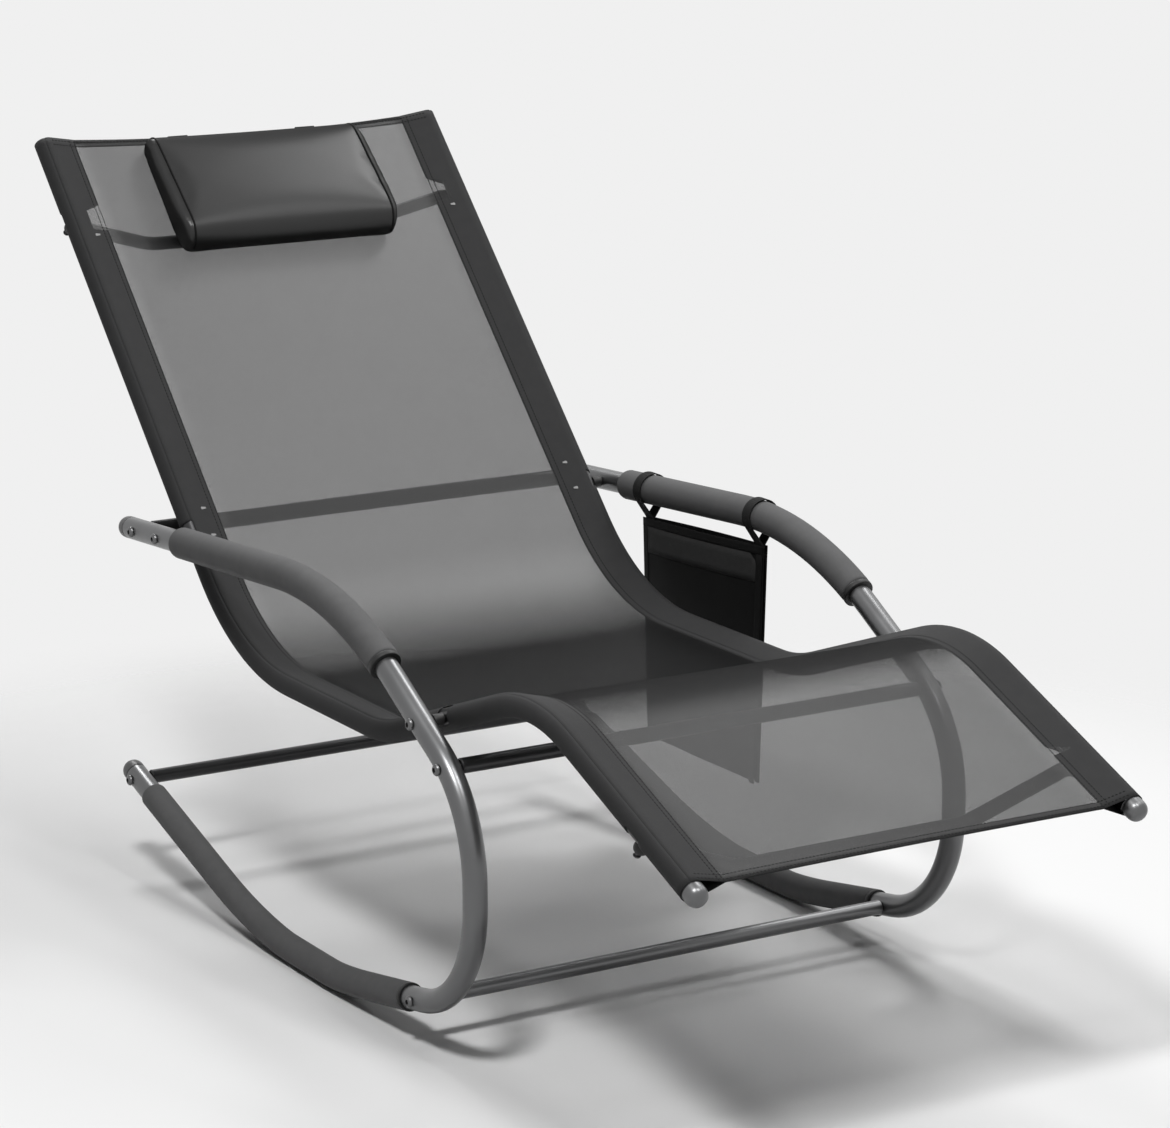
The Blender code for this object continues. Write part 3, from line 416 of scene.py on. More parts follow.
SEAT_REAR = Vector((SEAT_REAR_Y, SEAT_Z))
SEAT_FRONT = Vector((SEAT_FRONT_Y, SEAT_Z))
BACK_WAY = direction(BACK_RISE)
SEAT_RISE_WAY = direction(180 - SEAT_RISE)
KNEE = at_y(SEAT_FRONT, SEAT_RISE_WAY, KNEE_Y)
FOOT_TIP = KNEE + direction(180 + LEG_FALL) * LEG_LENGTH
HEAD_TIP = SEAT_REAR + BACK_WAY * BACK_LENGTH
RAIL = Line(bent(
    [FOOT_TIP, KNEE, SEAT_FRONT, SEAT_REAR, HEAD_TIP + BACK_WAY * SLING_HEAD_OVER],
    [KNEE_BEND_R, SEAT_FRONT_BEND_R, SEAT_REAR_BEND_R],
))
RAIL_TOTAL = RAIL.total - SLING_HEAD_OVER
BRACE_STATIONS = (BRACE_FROM_END, RAIL_TOTAL - BRACE_FROM_END)
BRACE_WINDOWS = tuple(zip(BRACE_STATIONS, WINDOW_BELOW, WINDOW_ABOVE, WINDOW_SIDES))
FRONT_MOUNT = crossing(UPRIGHT_HEAD, RISE_WAY, SEAT_FRONT, SEAT_RISE_WAY)
REAR_MOUNT = crossing(ARM_TIP, ARM_WAY, SEAT_REAR, BACK_WAY)
MOUNTS = (("front", FRONT_MOUNT), ("rear", REAR_MOUNT))
BOLT_STATIONS = [RAIL.of_y(mount.x) for _, mount in MOUNTS]
UPRIGHT_BEND_CENTRE = UPRIGHT_HEAD + Vector((
    UPRIGHT_BEND_R,
    -UPRIGHT_BEND_R * math.tan(math.radians((90 - ARM_RISE) / 2)),
))
BARS = (
    ("rear_crossbar", at_y(REAR_TANGENT, REAR_WAY, REAR_BAR_Y), BASE_BAR_R),
    ("front_crossbar", at_y(FRONT_TANGENT, FRONT_WAY, FRONT_BAR_Y), BASE_BAR_R),
    ("seat_crossbar", UPRIGHT_BEND_CENTRE + direction(180 - SEAT_BAR_TURN) * UPRIGHT_BEND_R, BASE_BAR_R),
    ("back_crossbar", at_y(ARM_TIP, ARM_WAY, BACK_BAR_Y), BACK_BAR_R),
)
FRAME_INNER_X = FRAME_X - FRAME_TUBE_R
FRAME_OUTER_X = FRAME_X + FRAME_TUBE_R
RAIL_OUTER_X = RAIL_X + RAIL_R
BRACE_SEAT_DEPTH = RAIL_R + BRACE_R + GAP
HEM_EDGE_X = RAIL_X - HEM_REACH


# Nodes of a material

def new_material(name, colour, roughness, metallic=0.0, specular=0.5):
    """A material with its node tree and its main shader."""
    material = bpy.data.materials.new(name)
    material.use_nodes = True
    tree = material.node_tree
    shader = tree.nodes["Principled BSDF"]
    shader.inputs["Base Color"].default_value = (*colour, 1.0)
    shader.inputs["Roughness"].default_value = roughness
    shader.inputs["Metallic"].default_value = metallic
    shader.inputs["Specular IOR Level"].default_value = specular
    return material, tree, shader


def grey(level, cool=0.0):
    """A grey, with a little more blue where it is cool."""
    return (level, level, level + cool)


def add(tree, kind, **settings):
    """A node with attributes set by name and sockets set by their names."""
    node = tree.nodes.new(kind)
    for key, value in settings.items():
        if hasattr(node, key):
            setattr(node, key, value)
        else:
            node.inputs[key.replace("_", " ")].default_value = value
    return node


def feed(tree, value, socket):
    """Give a socket a link or a number."""
    if isinstance(value, bpy.types.NodeSocket):
        tree.links.new(value, socket)
    else:
        socket.default_value = value


def math_node(tree, operation, *operands):
    """A Math node whose operands are sockets or numbers."""
    node = add(tree, "ShaderNodeMath", operation=operation)
    for socket, value in zip(node.inputs, operands):
        feed(tree, value, socket)
    return node.outputs[0]


def place_by(tree, kind, socket):
    """Feed a socket with the surface's coordinates of a kind."""
    tree.links.new(add(tree, "ShaderNodeTexCoord").outputs[kind], socket)


def noise(tree, scale, detail=3.0, roughness=0.55):
    """Noise in object coordinates, scale in cells a metre."""
    texture = add(tree, "ShaderNodeTexNoise", Scale=scale, Detail=detail, Roughness=roughness)
    place_by(tree, "Object", texture.inputs["Vector"])
    return texture.outputs["Fac"]


def crossed_ribs(tree, kind, axes, pitch, join):
    """Two sets of ribs at a pitch in metres along two axes, joined by a Math operation."""
    split = add(tree, "ShaderNodeSeparateXYZ")
    place_by(tree, kind, split.inputs["Vector"])
    ribs = []
    for axis in axes:
        turn = math_node(tree, "MULTIPLY", split.outputs[axis], math.pi / pitch)
        ribs.append(math_node(tree, "ABSOLUTE", math_node(tree, "SINE", turn)))
    return math_node(tree, join, *ribs)


def ramp(tree, source, low=0.0, high=1.0, start=0.0, end=1.0, **settings):
    """Map a value that runs from start to end onto low to high."""
    node = add(tree, "ShaderNodeMapRange", From_Min=start, From_Max=end, To_Min=low, To_Max=high, **settings)
    tree.links.new(source, node.inputs["Value"])
    return node.outputs["Result"]


def tint(tree, shader, source, dark, light):
    """Vary the base colour between two colours."""
    mix = add(tree, "ShaderNodeMix", data_type="RGBA")
    colours = [s for s in mix.inputs if s.type == "RGBA"]
    colours[0].default_value = (*dark, 1.0)
    colours[1].default_value = (*light, 1.0)
    tree.links.new(source, mix.inputs["Factor"])
    tree.links.new(next(s for s in mix.outputs if s.type == "RGBA"), shader.inputs["Base Color"])


def bump(tree, shader, source, strength, distance):
    """Raise the surface by a height, distance in metres."""
    node = add(tree, "ShaderNodeBump", Strength=strength, Distance=distance)
    tree.links.new(source, node.inputs["Height"])
    tree.links.new(node.outputs["Normal"], shader.inputs["Normal"])


def mix_shaders(tree, share, first, second, output):
    """Show two shaders at an output, mixed by a share that is a socket or a number."""
    mix = add(tree, "ShaderNodeMixShader")
    feed(tree, share, mix.inputs["Fac"])
    tree.links.new(first, mix.inputs[1])
    tree.links.new(second, mix.inputs[2])
    tree.links.new(mix.outputs[0], output.inputs["Surface"])
    return mix.outputs[0]


def gloss(tree, shader, share, roughness):
    """Lay a gloss of the same share at every angle over a shader, as rounded yarns and grain show it."""
    shine = add(tree, "ShaderNodeBsdfGlossy", Color=(1.0, 1.0, 1.0, 1.0), Roughness=roughness)
    tree.links.new(shader.inputs["Normal"].links[0].from_socket, shine.inputs["Normal"])
    return mix_shaders(tree, share, shader.outputs[0], shine.outputs[0], tree.nodes["Material Output"])


def solid_material(name, colour, roughness, mottle, uneven=None, grain=None, **kinds):
    """A material that varies by noise, each scale in cells a metre.

    mottle is the scale, dark and light of its colour, uneven the scale, low and high of its
    roughness, grain the scale, detail, strength and depth of its surface.
    """
    material, tree, shader = new_material(name, colour, roughness, **kinds)
    scale, dark, light = mottle
    tint(tree, shader, noise(tree, scale), dark, light)
    if uneven:
        scale, low, high = uneven
        tree.links.new(ramp(tree, noise(tree, scale), low, high), shader.inputs["Roughness"])
    if grain:
        scale, detail, strength, depth = grain
        bump(tree, shader, noise(tree, scale, detail), strength, depth)
    return material


# Materials

def coat_material(name, dark, light):
    """Satin powder coat: a fine orange peel and a little uneven gloss."""
    return solid_material(name, light, roughness=0.32, metallic=0.9, mottle=(18.0, dark, light),
                          uneven=(35.0, 0.26, 0.40), grain=(1400.0, 2.0, 0.10, 0.0002))


def foam_material():
    """Matt closed-cell foam with fine pores and faint mottling."""
    return solid_material("foam_sleeve", grey(0.080, 0.001), roughness=0.85, specular=0.25,
                          mottle=(60.0, grey(0.082, 0.001), grey(0.106, 0.001)),
                          uneven=(90.0, 0.78, 0.92), grain=(2200.0, 2.0, 0.22, 0.0003))


def rubber_material():
    """Black rubber, dull and a little uneven."""
    return solid_material("black_ring", grey(0.008), roughness=0.5, specular=0.35,
                          mottle=(220.0, grey(0.006), grey(0.011)), uneven=(400.0, 0.42, 0.60))


def plastic_material():
    """Dark moulded plastic with a fine grain."""
    return solid_material("moulded_cap", grey(0.060, 0.001), roughness=0.42,
                          mottle=(140.0, grey(0.052, 0.001), grey(0.068, 0.001)),
                          grain=(3000.0, 3.0, 0.10, 0.0002))


def steel_material():
    """Dark plated steel with a cloudy gloss."""
    return solid_material("dark_bolt", grey(0.13, 0.002), roughness=0.32, metallic=1.0,
                          mottle=(500.0, grey(0.10, 0.002), grey(0.17, 0.002)),
                          uneven=(900.0, 0.24, 0.42))


def thread_material(name, level, dark, light, roughness, specular):
    """Sewing thread, mottled at the size of its twist."""
    return solid_material(name, grey(level), roughness, specular=specular,
                          mottle=(900.0, grey(dark), grey(light)))


def weave(tree):
    """Height of the sling's square weave in the sheet's own coordinates: 0 on a yarn, 1 mid-hole."""
    return crossed_ribs(tree, "UV", "XY", MESH_PITCH, "MINIMUM")


def sling_material():
    """Coated yarn woven with square holes."""
    material, tree, shader = new_material("mesh_sling", grey(0.012, 0.0002), roughness=0.7, specular=0.0)
    clear = weave(tree)
    hole = ramp(tree, clear, start=MESH_OPEN - MESH_SOFT, end=MESH_OPEN + MESH_SOFT)
    tint(tree, shader, noise(tree, scale=45.0), dark=grey(0.010, 0.0002), light=grey(0.014, 0.0002))
    bump(tree, shader, math_node(tree, "SUBTRACT", 1.0, clear), strength=0.15, distance=0.0003)
    yarn = gloss(tree, shader, MESH_GLOSS, MESH_GLOSS_ROUGH)
    through = add(tree, "ShaderNodeBsdfTransparent")
    mix_shaders(tree, hole, yarn, through.outputs[0], tree.nodes["Material Output"])
    return material


def hem_material():
    """The same weave doubled over, which lets nothing through."""
    material, tree, shader = new_material("mesh_hem", grey(0.030, 0.0005), roughness=0.75, specular=0.15)
    tint(tree, shader, noise(tree, scale=60.0), dark=grey(0.024, 0.0005), light=grey(0.031, 0.0005))
    bump(tree, shader, math_node(tree, "SUBTRACT", 1.0, weave(tree)), strength=0.4, distance=0.0003)
    return material


def leather_material():
    """Smooth black leatherette with a fine pebbled grain."""
    material, tree, shader = new_material("black_leatherette", grey(0.010), roughness=0.36, specular=0.0)
    cells = add(tree, "ShaderNodeTexVoronoi", feature="SMOOTH_F1", Scale=900.0, Smoothness=0.6)
    place_by(tree, "Object", cells.inputs["Vector"])
    bump(tree, shader, cells.outputs["Distance"], strength=0.12, distance=0.0003)
    tint(tree, shader, noise(tree, scale=25.0), dark=grey(0.009), light=grey(0.012))
    gloss(tree, shader, LEATHER_GLOSS, LEATHER_GLOSS_ROUGH)
    return material


def cloth_material(name, dark, light, pitch):
    """Plain woven polyester: crossed ribs at the weave's own pitch, in object coordinates."""
    material, tree, shader = new_material(name, grey(light), roughness=0.8, specular=0.12)
    woven_ribs = crossed_ribs(tree, "Object", "YZ", pitch, "MULTIPLY")
    bump(tree, shader, woven_ribs, strength=0.5, distance=0.0003)
    tint(tree, shader, noise(tree, scale=130.0), grey(dark), grey(light))
    tree.links.new(ramp(tree, woven_ribs, low=0.72, high=0.92), shader.inputs["Roughness"])
    return material


LOOKS = {
    "tube": coat_material("gunmetal_coat", (0.125, 0.126, 0.128), (0.155, 0.156, 0.158)),
    # bar: a darker copy of the frame coat, painted shade for the rails, braces and the bars that sit in
    # shade under the seat and back
    "bar": coat_material("painted_shade_coat", grey(0.042, 0.001), grey(0.054, 0.001)),
    "foam": foam_material(),
    "rubber": rubber_material(),
    "cap": plastic_material(),
    "steel": steel_material(),
    "mesh": sling_material(),
    "hem": hem_material(),
    "thread": thread_material("dark_thread", 0.006, dark=0.004, light=0.008, roughness=0.7, specular=0.1),
    "tack": thread_material("pale_thread", 0.26, dark=0.20, light=0.32, roughness=0.6, specular=0.3),
    "leather": leather_material(),
    "bag": cloth_material("bag_cloth", dark=0.004, light=0.007, pitch=0.0012),
    "panel": cloth_material("bag_mesh", dark=0.032, light=0.042, pitch=0.0020),
    "binding": cloth_material("bag_binding", dark=0.005, light=0.009, pitch=0.0008),
    "webbing": cloth_material("strap_webbing", dark=0.012, light=0.018, pitch=0.0014),
}


# Building blocks

def link_object(name, data):
    """A new object of some data, put in the scene."""
    made = bpy.data.objects.new(name, data)
    bpy.context.scene.collection.objects.link(made)
    return made


def piece_of(name, shape, look, slot, *nodes, body="chair"):
    """Make an object of a bmesh, let it ride on a body and stand for CAD nodes."""
    bmesh.ops.recalc_face_normals(shape, faces=shape.faces)
    mesh = bpy.data.meshes.new(name)
    shape.to_mesh(mesh)
    shape.free()
    mesh.shade_smooth()
    mesh.set_sharp_from_angle(angle=math.radians(SHARP_ANGLE))
    mesh.materials.append(LOOKS[look])
    made = link_object(name, mesh)
    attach(made, body)
    if nodes:
        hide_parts(*nodes)
    return made


def give_wall(piece, thickness, offset=0.0):
    """Thicken a piece of cloth."""
    wall = piece.modifiers.new("cloth", "SOLIDIFY")
    wall.thickness = thickness
    wall.offset = offset


def refine(piece):
    """Round a piece off by one level of subdivision."""
    fine = piece.modifiers.new("fine", "SUBSURF")
    fine.levels = 1
    fine.render_levels = 1


def quads(rows, columns):
    """The corners, as (row, column), of each face of a grid with so many points each way."""
    for r in range(rows - 1):
        for c in range(columns - 1):
            yield (r, c), (r, c + 1), (r + 1, c + 1), (r + 1, c)


def bridge(shape, a, b):
    """Faces between two rings of points; a ring of one point closes an end."""
    for k in range(max(len(a), len(b))):
        corners = [a[k % len(a)], a[(k + 1) % len(a)], b[(k + 1) % len(b)], b[k % len(b)]]
        shape.faces.new(list(dict.fromkeys(corners)))


def sweep(line, profile, across, sides=TUBE_SIDES, closed=False):
    """A round body along a 3-D line; profile lists (distance, radius), across is square to the line."""
    shape = bmesh.new()
    rings = []
    for distance, radius in profile:
        centre, way = line.at(distance)
        other = way.cross(across).normalized()
        count = sides if radius > 0 else 1
        turns = [2 * math.pi * k / sides for k in range(count)]
        rings.append([
            shape.verts.new(centre + (across * math.cos(t) + other * math.sin(t)) * radius) for t in turns
        ])
    pairs = list(zip(rings, rings[1:]))
    if closed:
        pairs.append((rings[-1], rings[0]))
    for a, b in pairs:
        bridge(shape, a, b)
    return shape


def bar_profile(line, start, end, radius):
    """A plain round bar with a small chamfer at each end."""
    middle = [(d, radius) for d in line.between(start + EDGE_ROUND, end - EDGE_ROUND)]
    return [(start, 0), (start, radius - EDGE_ROUND), *middle, (end, radius - EDGE_ROUND), (end, 0)]


def sleeve_profile(line, start, end, radius, bore, rounding):
    """A hollow sleeve with rounded ends, as a closed loop of (distance, radius)."""
    soft = [rounding * (1 - math.cos(t)) for t in EDGE_TURNS]
    drop = [rounding * (1 - math.sin(t)) for t in EDGE_TURNS]
    front = [(start + s, radius - d) for s, d in zip(soft, drop)]
    rear = [(end - s, radius - d) for s, d in zip(reversed(soft), reversed(drop))]
    inside = line.between(start + rounding, end - rounding)[1:-1]
    outer = [(d, radius) for d in inside]
    inner = [(d, bore) for d in reversed(inside)]
    return [(start, bore), *front, *outer, *rear, (end, bore), *inner]


def dome_profile(start, end, radius):
    """A cap with straight sides and a domed outer end, from its seat at start to its tip at end."""
    height = math.copysign(DOME_SHARE * radius, end - start)
    dome = [(end - height + height * math.sin(t), radius * math.cos(t) ** DOME_POWER) for t in DOME_TURNS]
    lip = math.copysign(CAP_LIP, end - start)
    return [(start, 0), (start, radius - CAP_LIP), (start + lip, radius), *dome, (end, 0)]


def round_piece(name, line, profile, look, slot, node, closed=False):
    """A round piece of a side frame or a rail."""
    return piece_of(name, sweep(line, profile, ACROSS, closed=closed), look, slot, node)


# Side frames, rails, bars and their fasteners

def make_side_frame(side, sign):
    """Runner, arm and their caps, then the foam sleeves with their rings."""
    runner = side_line(sign * FRAME_X, RUNNER)
    arm = side_line(sign * FRAME_X, ARM)
    profile = bar_profile(runner, CAP_REACH, runner.total, FRAME_TUBE_R)
    round_piece(f"{side}_runner_bar", runner, profile, "tube", "frame_tube", f"{side}_rocker_tube")
    profile = bar_profile(arm, GAP, arm.total - CAP_REACH, FRAME_TUBE_R)
    round_piece(f"{side}_arm_bar", arm, profile, "tube", "frame_tube", f"{side}_arm_tube")
    profile = dome_profile(CAP_REACH - GAP, 0.0, FRAME_TUBE_R)
    round_piece(f"{side}_runner_cap", runner, profile, "cap", "plastic_trim", f"{side}_rocker_rear_cap")
    profile = dome_profile(arm.total - CAP_REACH + GAP, arm.total, FRAME_TUBE_R)
    round_piece(f"{side}_arm_cap", arm, profile, "cap", "plastic_trim", f"{side}_arm_rear_cap")
    bore = FRAME_TUBE_R + GAP / 2
    sleeves = (
        ("rocker", SIDE_FRAME, RUNNER_SLEEVE_REAR_Y, RUNNER_SLEEVE_FRONT_Y, RUNNER_SLEEVE_R),
        ("arm", ARM_BACKWARD, ARM_SLEEVE_REAR_Y, ARM_SLEEVE_FRONT_Y, ARM_SLEEVE_R),
    )
    for part, plane, rear_y, front_y, radius in sleeves:
        line = side_line(sign * FRAME_X, plane)
        end = plane.of_y(front_y)
        profile = sleeve_profile(line, plane.of_y(rear_y), end, radius, bore, 2 * EDGE_ROUND)
        round_piece(f"{side}_{part}_grip", line, profile, "foam", "foam_sleeve",
                    f"{side}_{part}_sleeve", closed=True)
        first = end + GAP
        profile = sleeve_profile(line, first, first + RING_LENGTH, radius, bore, EDGE_ROUND)
        round_piece(f"{side}_{part}_collar", line, profile, "rubber", "rubber_ring",
                    f"{side}_{part}_ring", closed=True)


def make_rail(side, sign):
    """A rail in the darker copy of the frame coat as painted shade, with a domed cap in the frame's colour
    at its foot and a black one at its head.
    """
    line = side_line(sign * RAIL_X, RAIL)
    foot = CAP_REACH
    head = RAIL_TOTAL - CAP_REACH
    profile = bar_profile(line, foot, head, RAIL_R)
    # the rail bar takes the darker copy of the frame coat: painted shade
    round_piece(f"{side}_rail_bar", line, profile, "bar", "frame_tube", f"{side}_seat_rail")
    profile = dome_profile(foot - GAP, 0.0, RAIL_R)
    round_piece(f"{side}_rail_foot_dome", line, profile, "tube", "frame_tube", f"{side}_rail_foot_cap")
    profile = dome_profile(head + GAP, RAIL_TOTAL, RAIL_R)
    round_piece(f"{side}_rail_head_dome", line, profile, "rubber", "plastic_trim", f"{side}_rail_head_cap")


def make_crossbars():
    """The four bars between the side frames; only the front one has the frame's coat, the others the darker
    copy of it as painted shade.
    """
    reach = FRAME_INNER_X - GAP
    for name, point, radius in BARS:
        line = Line([in_space(-reach, point), in_space(reach, point)])
        shape = sweep(line, bar_profile(line, 0.0, line.total, radius), ALONG)
        # every bar but the front one takes the darker copy of the frame coat: painted shade
        look = "tube" if name == "front_crossbar" else "bar"
        piece_of(f"{name}_bar", shape, look, "frame_tube", name)


def make_braces():
    """Two bowed bars between the rails in the darker coat as painted shade, with black ends as painted
    shadow where they sit under them.
    """
    half = [
        Vector((RAIL_X + BRACE_OVERHANG, BRACE_SEAT_DEPTH)),
        Vector((RAIL_X - BRACE_SEAT_INSIDE, BRACE_SEAT_DEPTH)),
        Vector((BRACE_FLAT_HALF, BRACE_DROP)),
    ]
    corners = half + [Vector((-p.x, p.y)) for p in reversed(half)]
    outline = bent(corners, [BRACE_SEAT_BEND_R, BRACE_BEND_R, BRACE_BEND_R, BRACE_SEAT_BEND_R])
    for name, station in zip(("foot_brace", "head_brace"), BRACE_STATIONS):
        point, way = RAIL.at(station)
        down = in_space(0.0, under(way))
        line = Line([in_space(p.x, point) + down * p.y for p in outline])
        middle = [(d, BRACE_R) for d in line.between(BRACE_R, line.total - BRACE_R)]
        dome = [(BRACE_R * (1 - math.cos(t)), BRACE_R * math.sin(t)) for t in DOME_TURNS]
        far_dome = [(line.total - d, radius) for d, radius in reversed(dome)]
        shape = sweep(line, dome + middle + far_dome, in_space(0.0, way))
        # faces of the ends under the rails take black rubber: painted shadow
        for face in shape.faces:
            face.material_index = int(abs(face.calc_center_median().x) > RAIL_X - BRACE_SEAT_INSIDE)
        # the brace body takes the darker copy of the frame coat: painted shade
        brace = piece_of(f"{name}_bar", shape, "bar", "frame_tube", name)
        brace.data.materials.append(LOOKS["rubber"])


def hexagon(radius, turn):
    """Distance to a hexagon's edge in a direction, its corners at this radius."""
    return radius * math.cos(math.pi / 6) / math.cos((turn + math.pi / 6) % (math.pi / 3) - math.pi / 6)


def fastener(place, way, across, shank, head, height, length):
    """A dome-headed bolt with a hexagon socket; place is under the head, way points out of it."""
    shape = bmesh.new()
    other = way.cross(across)
    socket = SOCKET_R_SHARE * head
    floor = SOCKET_FLOOR * height
    rings = [
        (0.0, floor, False), (socket, floor, True), (socket, SOCKET_RIM * height, True),
        *[(r * head, h * height, False) for r, h in HEAD_CURVE],
        (shank, 0.0, False), (shank, -length, False), (0.0, -length, False),
    ]
    loops = []
    for radius, rise, hexed in rings:
        loop = []
        for k in range(SMALL_SIDES if radius else 1):
            turn = 2 * math.pi * k / SMALL_SIDES
            reach = hexagon(radius, turn) if hexed else radius
            spoke = across * math.cos(turn) + other * math.sin(turn)
            loop.append(shape.verts.new(place + way * rise + spoke * reach))
        loops.append(loop)
    for a, b in zip(loops, loops[1:]):
        bridge(shape, a, b)
    return shape


def make_fasteners(side, sign):
    """Crossbar bolts, rail bolts with their spacers, and brace screws."""
    outward = ACROSS * sign
    head = (BOLT_R, BOLT_HEAD_R, BOLT_HEAD_H)
    for name, point, _ in BARS:
        place = in_space(sign * (FRAME_OUTER_X + GAP), point)
        shape = fastener(place, outward, UP, *head, 2 * FRAME_TUBE_R + BOLT_GRIP)
        piece_of(f"{side}_{name}_screw", shape, "steel", "fastener", f"{side}_{name}_bolt")
    spacer = FRAME_INNER_X - RAIL_OUTER_X - 2 * GAP
    for name, point in MOUNTS:
        place = in_space(sign * (FRAME_OUTER_X + GAP), point)
        shape = fastener(place, outward, UP, *head, FRAME_OUTER_X - RAIL_OUTER_X + BOLT_GRIP)
        piece_of(f"{side}_{name}_mount_bolt", shape, "steel", "fastener", f"{side}_{name}_rail_bolt")
        start = in_space(sign * (RAIL_OUTER_X + GAP), point)
        line = Line([start, start + outward * spacer])
        profile = sleeve_profile(line, 0.0, spacer, SPACER_R, BOLT_R + GAP, SPACER_ROUND)
        shape = sweep(line, profile, UP, sides=SMALL_SIDES, closed=True)
        piece_of(f"{side}_{name}_mount_spacer", shape, "rubber", "plastic_trim",
                 f"{side}_{name}_rail_spacer")
    for name, station in zip(("foot", "head"), BRACE_STATIONS):
        point, way = RAIL.at(station)
        down = in_space(0.0, under(way))
        place = in_space(sign * RAIL_X, point) + down * (BRACE_SEAT_DEPTH + BRACE_R + GAP)
        shape = fastener(place, down, ACROSS, SCREW_R, SCREW_HEAD_R, SCREW_HEAD_H,
                         2 * BRACE_R + 2 * GAP + SCREW_GRIP)
        piece_of(f"{side}_{name}_brace_bolt", shape, "steel", "fastener", f"{side}_{name}_brace_screw")


# Sling

def tangent(edge, side):
    """Angle, from straight inward, at which a line from a point touches the sleeve round the rail."""
    inward = RAIL_X - edge.x
    return math.atan2(edge.y, inward) + side * math.acos(WRAP_R / math.hypot(inward, edge.y))


def round_rail(angle, radius=WRAP_R):
    """Point (x, height) of the sleeve round the rail."""
    return Vector((RAIL_X - radius * math.cos(angle), radius * math.sin(angle)))


HEM_TOP_TURN = tangent(Vector((HEM_EDGE_X, HEM_HEIGHT)), 1)


def sheet_height(x):
    """Height of the sheet over the rail's centreline: slack between the hems, up over the rail in them."""
    if abs(x) <= HEM_EDGE_X:
        return SHEET_LOW + (HEM_HEIGHT - SHEET_LOW) * (x / HEM_EDGE_X) ** 2
    touch = round_rail(HEM_TOP_TURN)
    return HEM_HEIGHT + (touch.y - HEM_HEIGHT) * (abs(x) - HEM_EDGE_X) / (touch.x - HEM_EDGE_X)


def sling_section():
    """Half section as (x, height): the hem's under layer, round the rail, the hem's top layer, the mesh."""
    edge = Vector((HEM_EDGE_X, HEM_HEIGHT - HEM_CLOSE))
    low = tangent(edge, -1)
    turn = 2 * math.pi - (HEM_TOP_TURN - low)
    wrap = []
    for k in range(WRAP_STEPS + 1):
        radius = WRAP_R - (GROOVE_DEPTH if k == GROOVE_STEP else 0.0)
        wrap.append(round_rail(low - turn * k / WRAP_STEPS, radius))
    flap = [edge.lerp(wrap[0], k / HEM_STEPS) for k in range(HEM_STEPS)]
    top = [HEM_EDGE_X + (wrap[-1].x - HEM_EDGE_X) * (1 - k / HEM_STEPS) for k in range(1, HEM_STEPS)]
    middle = [HEM_EDGE_X * (1 - k / MESH_STEPS) for k in range(MESH_STEPS + 1)]
    return flap + wrap + [Vector((x, sheet_height(x))) for x in top + middle]


def sling_point(distance, x, height):
    """A point of the sheet, with its ends drawn in between the rails."""
    share = max(0.0, 1 - (x / HEM_EDGE_X) ** 2)
    from_head = max(0.0, 1 - (RAIL.total - distance) / BOW_REACH)
    from_foot = max(0.0, 1 - (distance - SLING_FOOT_INSET) / BOW_REACH)
    shift = share * (FOOT_HEM_BOW * from_foot ** 2 - TOP_HEM_BOW * from_head ** 2)
    point, way = RAIL.at(distance + shift)
    return in_space(x, point - under(way) * height)


def on_sheet(distance, x, lift):
    """A point this far above the sheet."""
    return sling_point(distance, x, sheet_height(x) + lift)


def sheet_up(distance):
    """Unit normal of the sheet's upper face."""
    return -in_space(0.0, under(RAIL.at(distance)[1]))


def window_top(above, share):
    """How far a brace's window reaches towards the head, by the share of the hem from its inner edge."""
    return above - WINDOW_SLOPE * share / WINDOW_REACH


def sling_rows():
    """Distances along the rail at which the sheet has a row of points."""
    count = round((RAIL.total - SLING_FOOT_INSET) / ROW_STEP)
    rows = {SLING_FOOT_INSET + (RAIL.total - SLING_FOOT_INSET) * k / count for k in range(count + 1)}
    for station, below, above, _ in BRACE_WINDOWS:
        rows.update((station - below, station - BRACE_SLOT_HALF, station + BRACE_SLOT_HALF))
        rows.update(station + window_top(above, (k + 0.5) / HEM_STEPS) for k in range(HEM_STEPS))
    for station in BOLT_STATIONS:
        rows.update((station - BOLT_SLOT_HALF, station + BOLT_SLOT_HALF))
    merged = []
    for row in sorted(rows):
        if not merged or row - merged[-1] > ROW_LEAST:
            merged.append(row)
    return merged


def in_window(distance, share, sign):
    """True where a brace's window is cut out of the hem's under layer on this side."""
    for station, below, above, signs in BRACE_WINDOWS:
        along = -below < distance - station < window_top(above, share)
        if along and share < WINDOW_REACH and sign in signs:
            return True
    return False


def cut_away(distance, strip, sign):
    """True where the under layer or the sleeve is cut for a brace or a rail bolt."""
    if strip < HEM_STEPS and in_window(distance, (strip + 0.5) / HEM_STEPS, sign):
        return True
    round_share = (strip - HEM_STEPS) / WRAP_STEPS
    for station in BRACE_STATIONS:
        if abs(distance - station) < BRACE_SLOT_HALF and round_share < 0.5:
            return True
    start, end = BOLT_SLOT_ROUND
    for station in BOLT_STATIONS:
        if abs(distance - station) < BOLT_SLOT_HALF and start <= round_share < end:
            return True
    return False


def single_layer(distance, strip, sign):
    """True where the top face of the sheet has no hem layer under it."""
    top_start = HEM_STEPS + WRAP_STEPS
    if strip < top_start:
        return False
    share = 1 - (strip - top_start + 0.5) / HEM_STEPS
    return share < 0 or in_window(distance, share, sign)


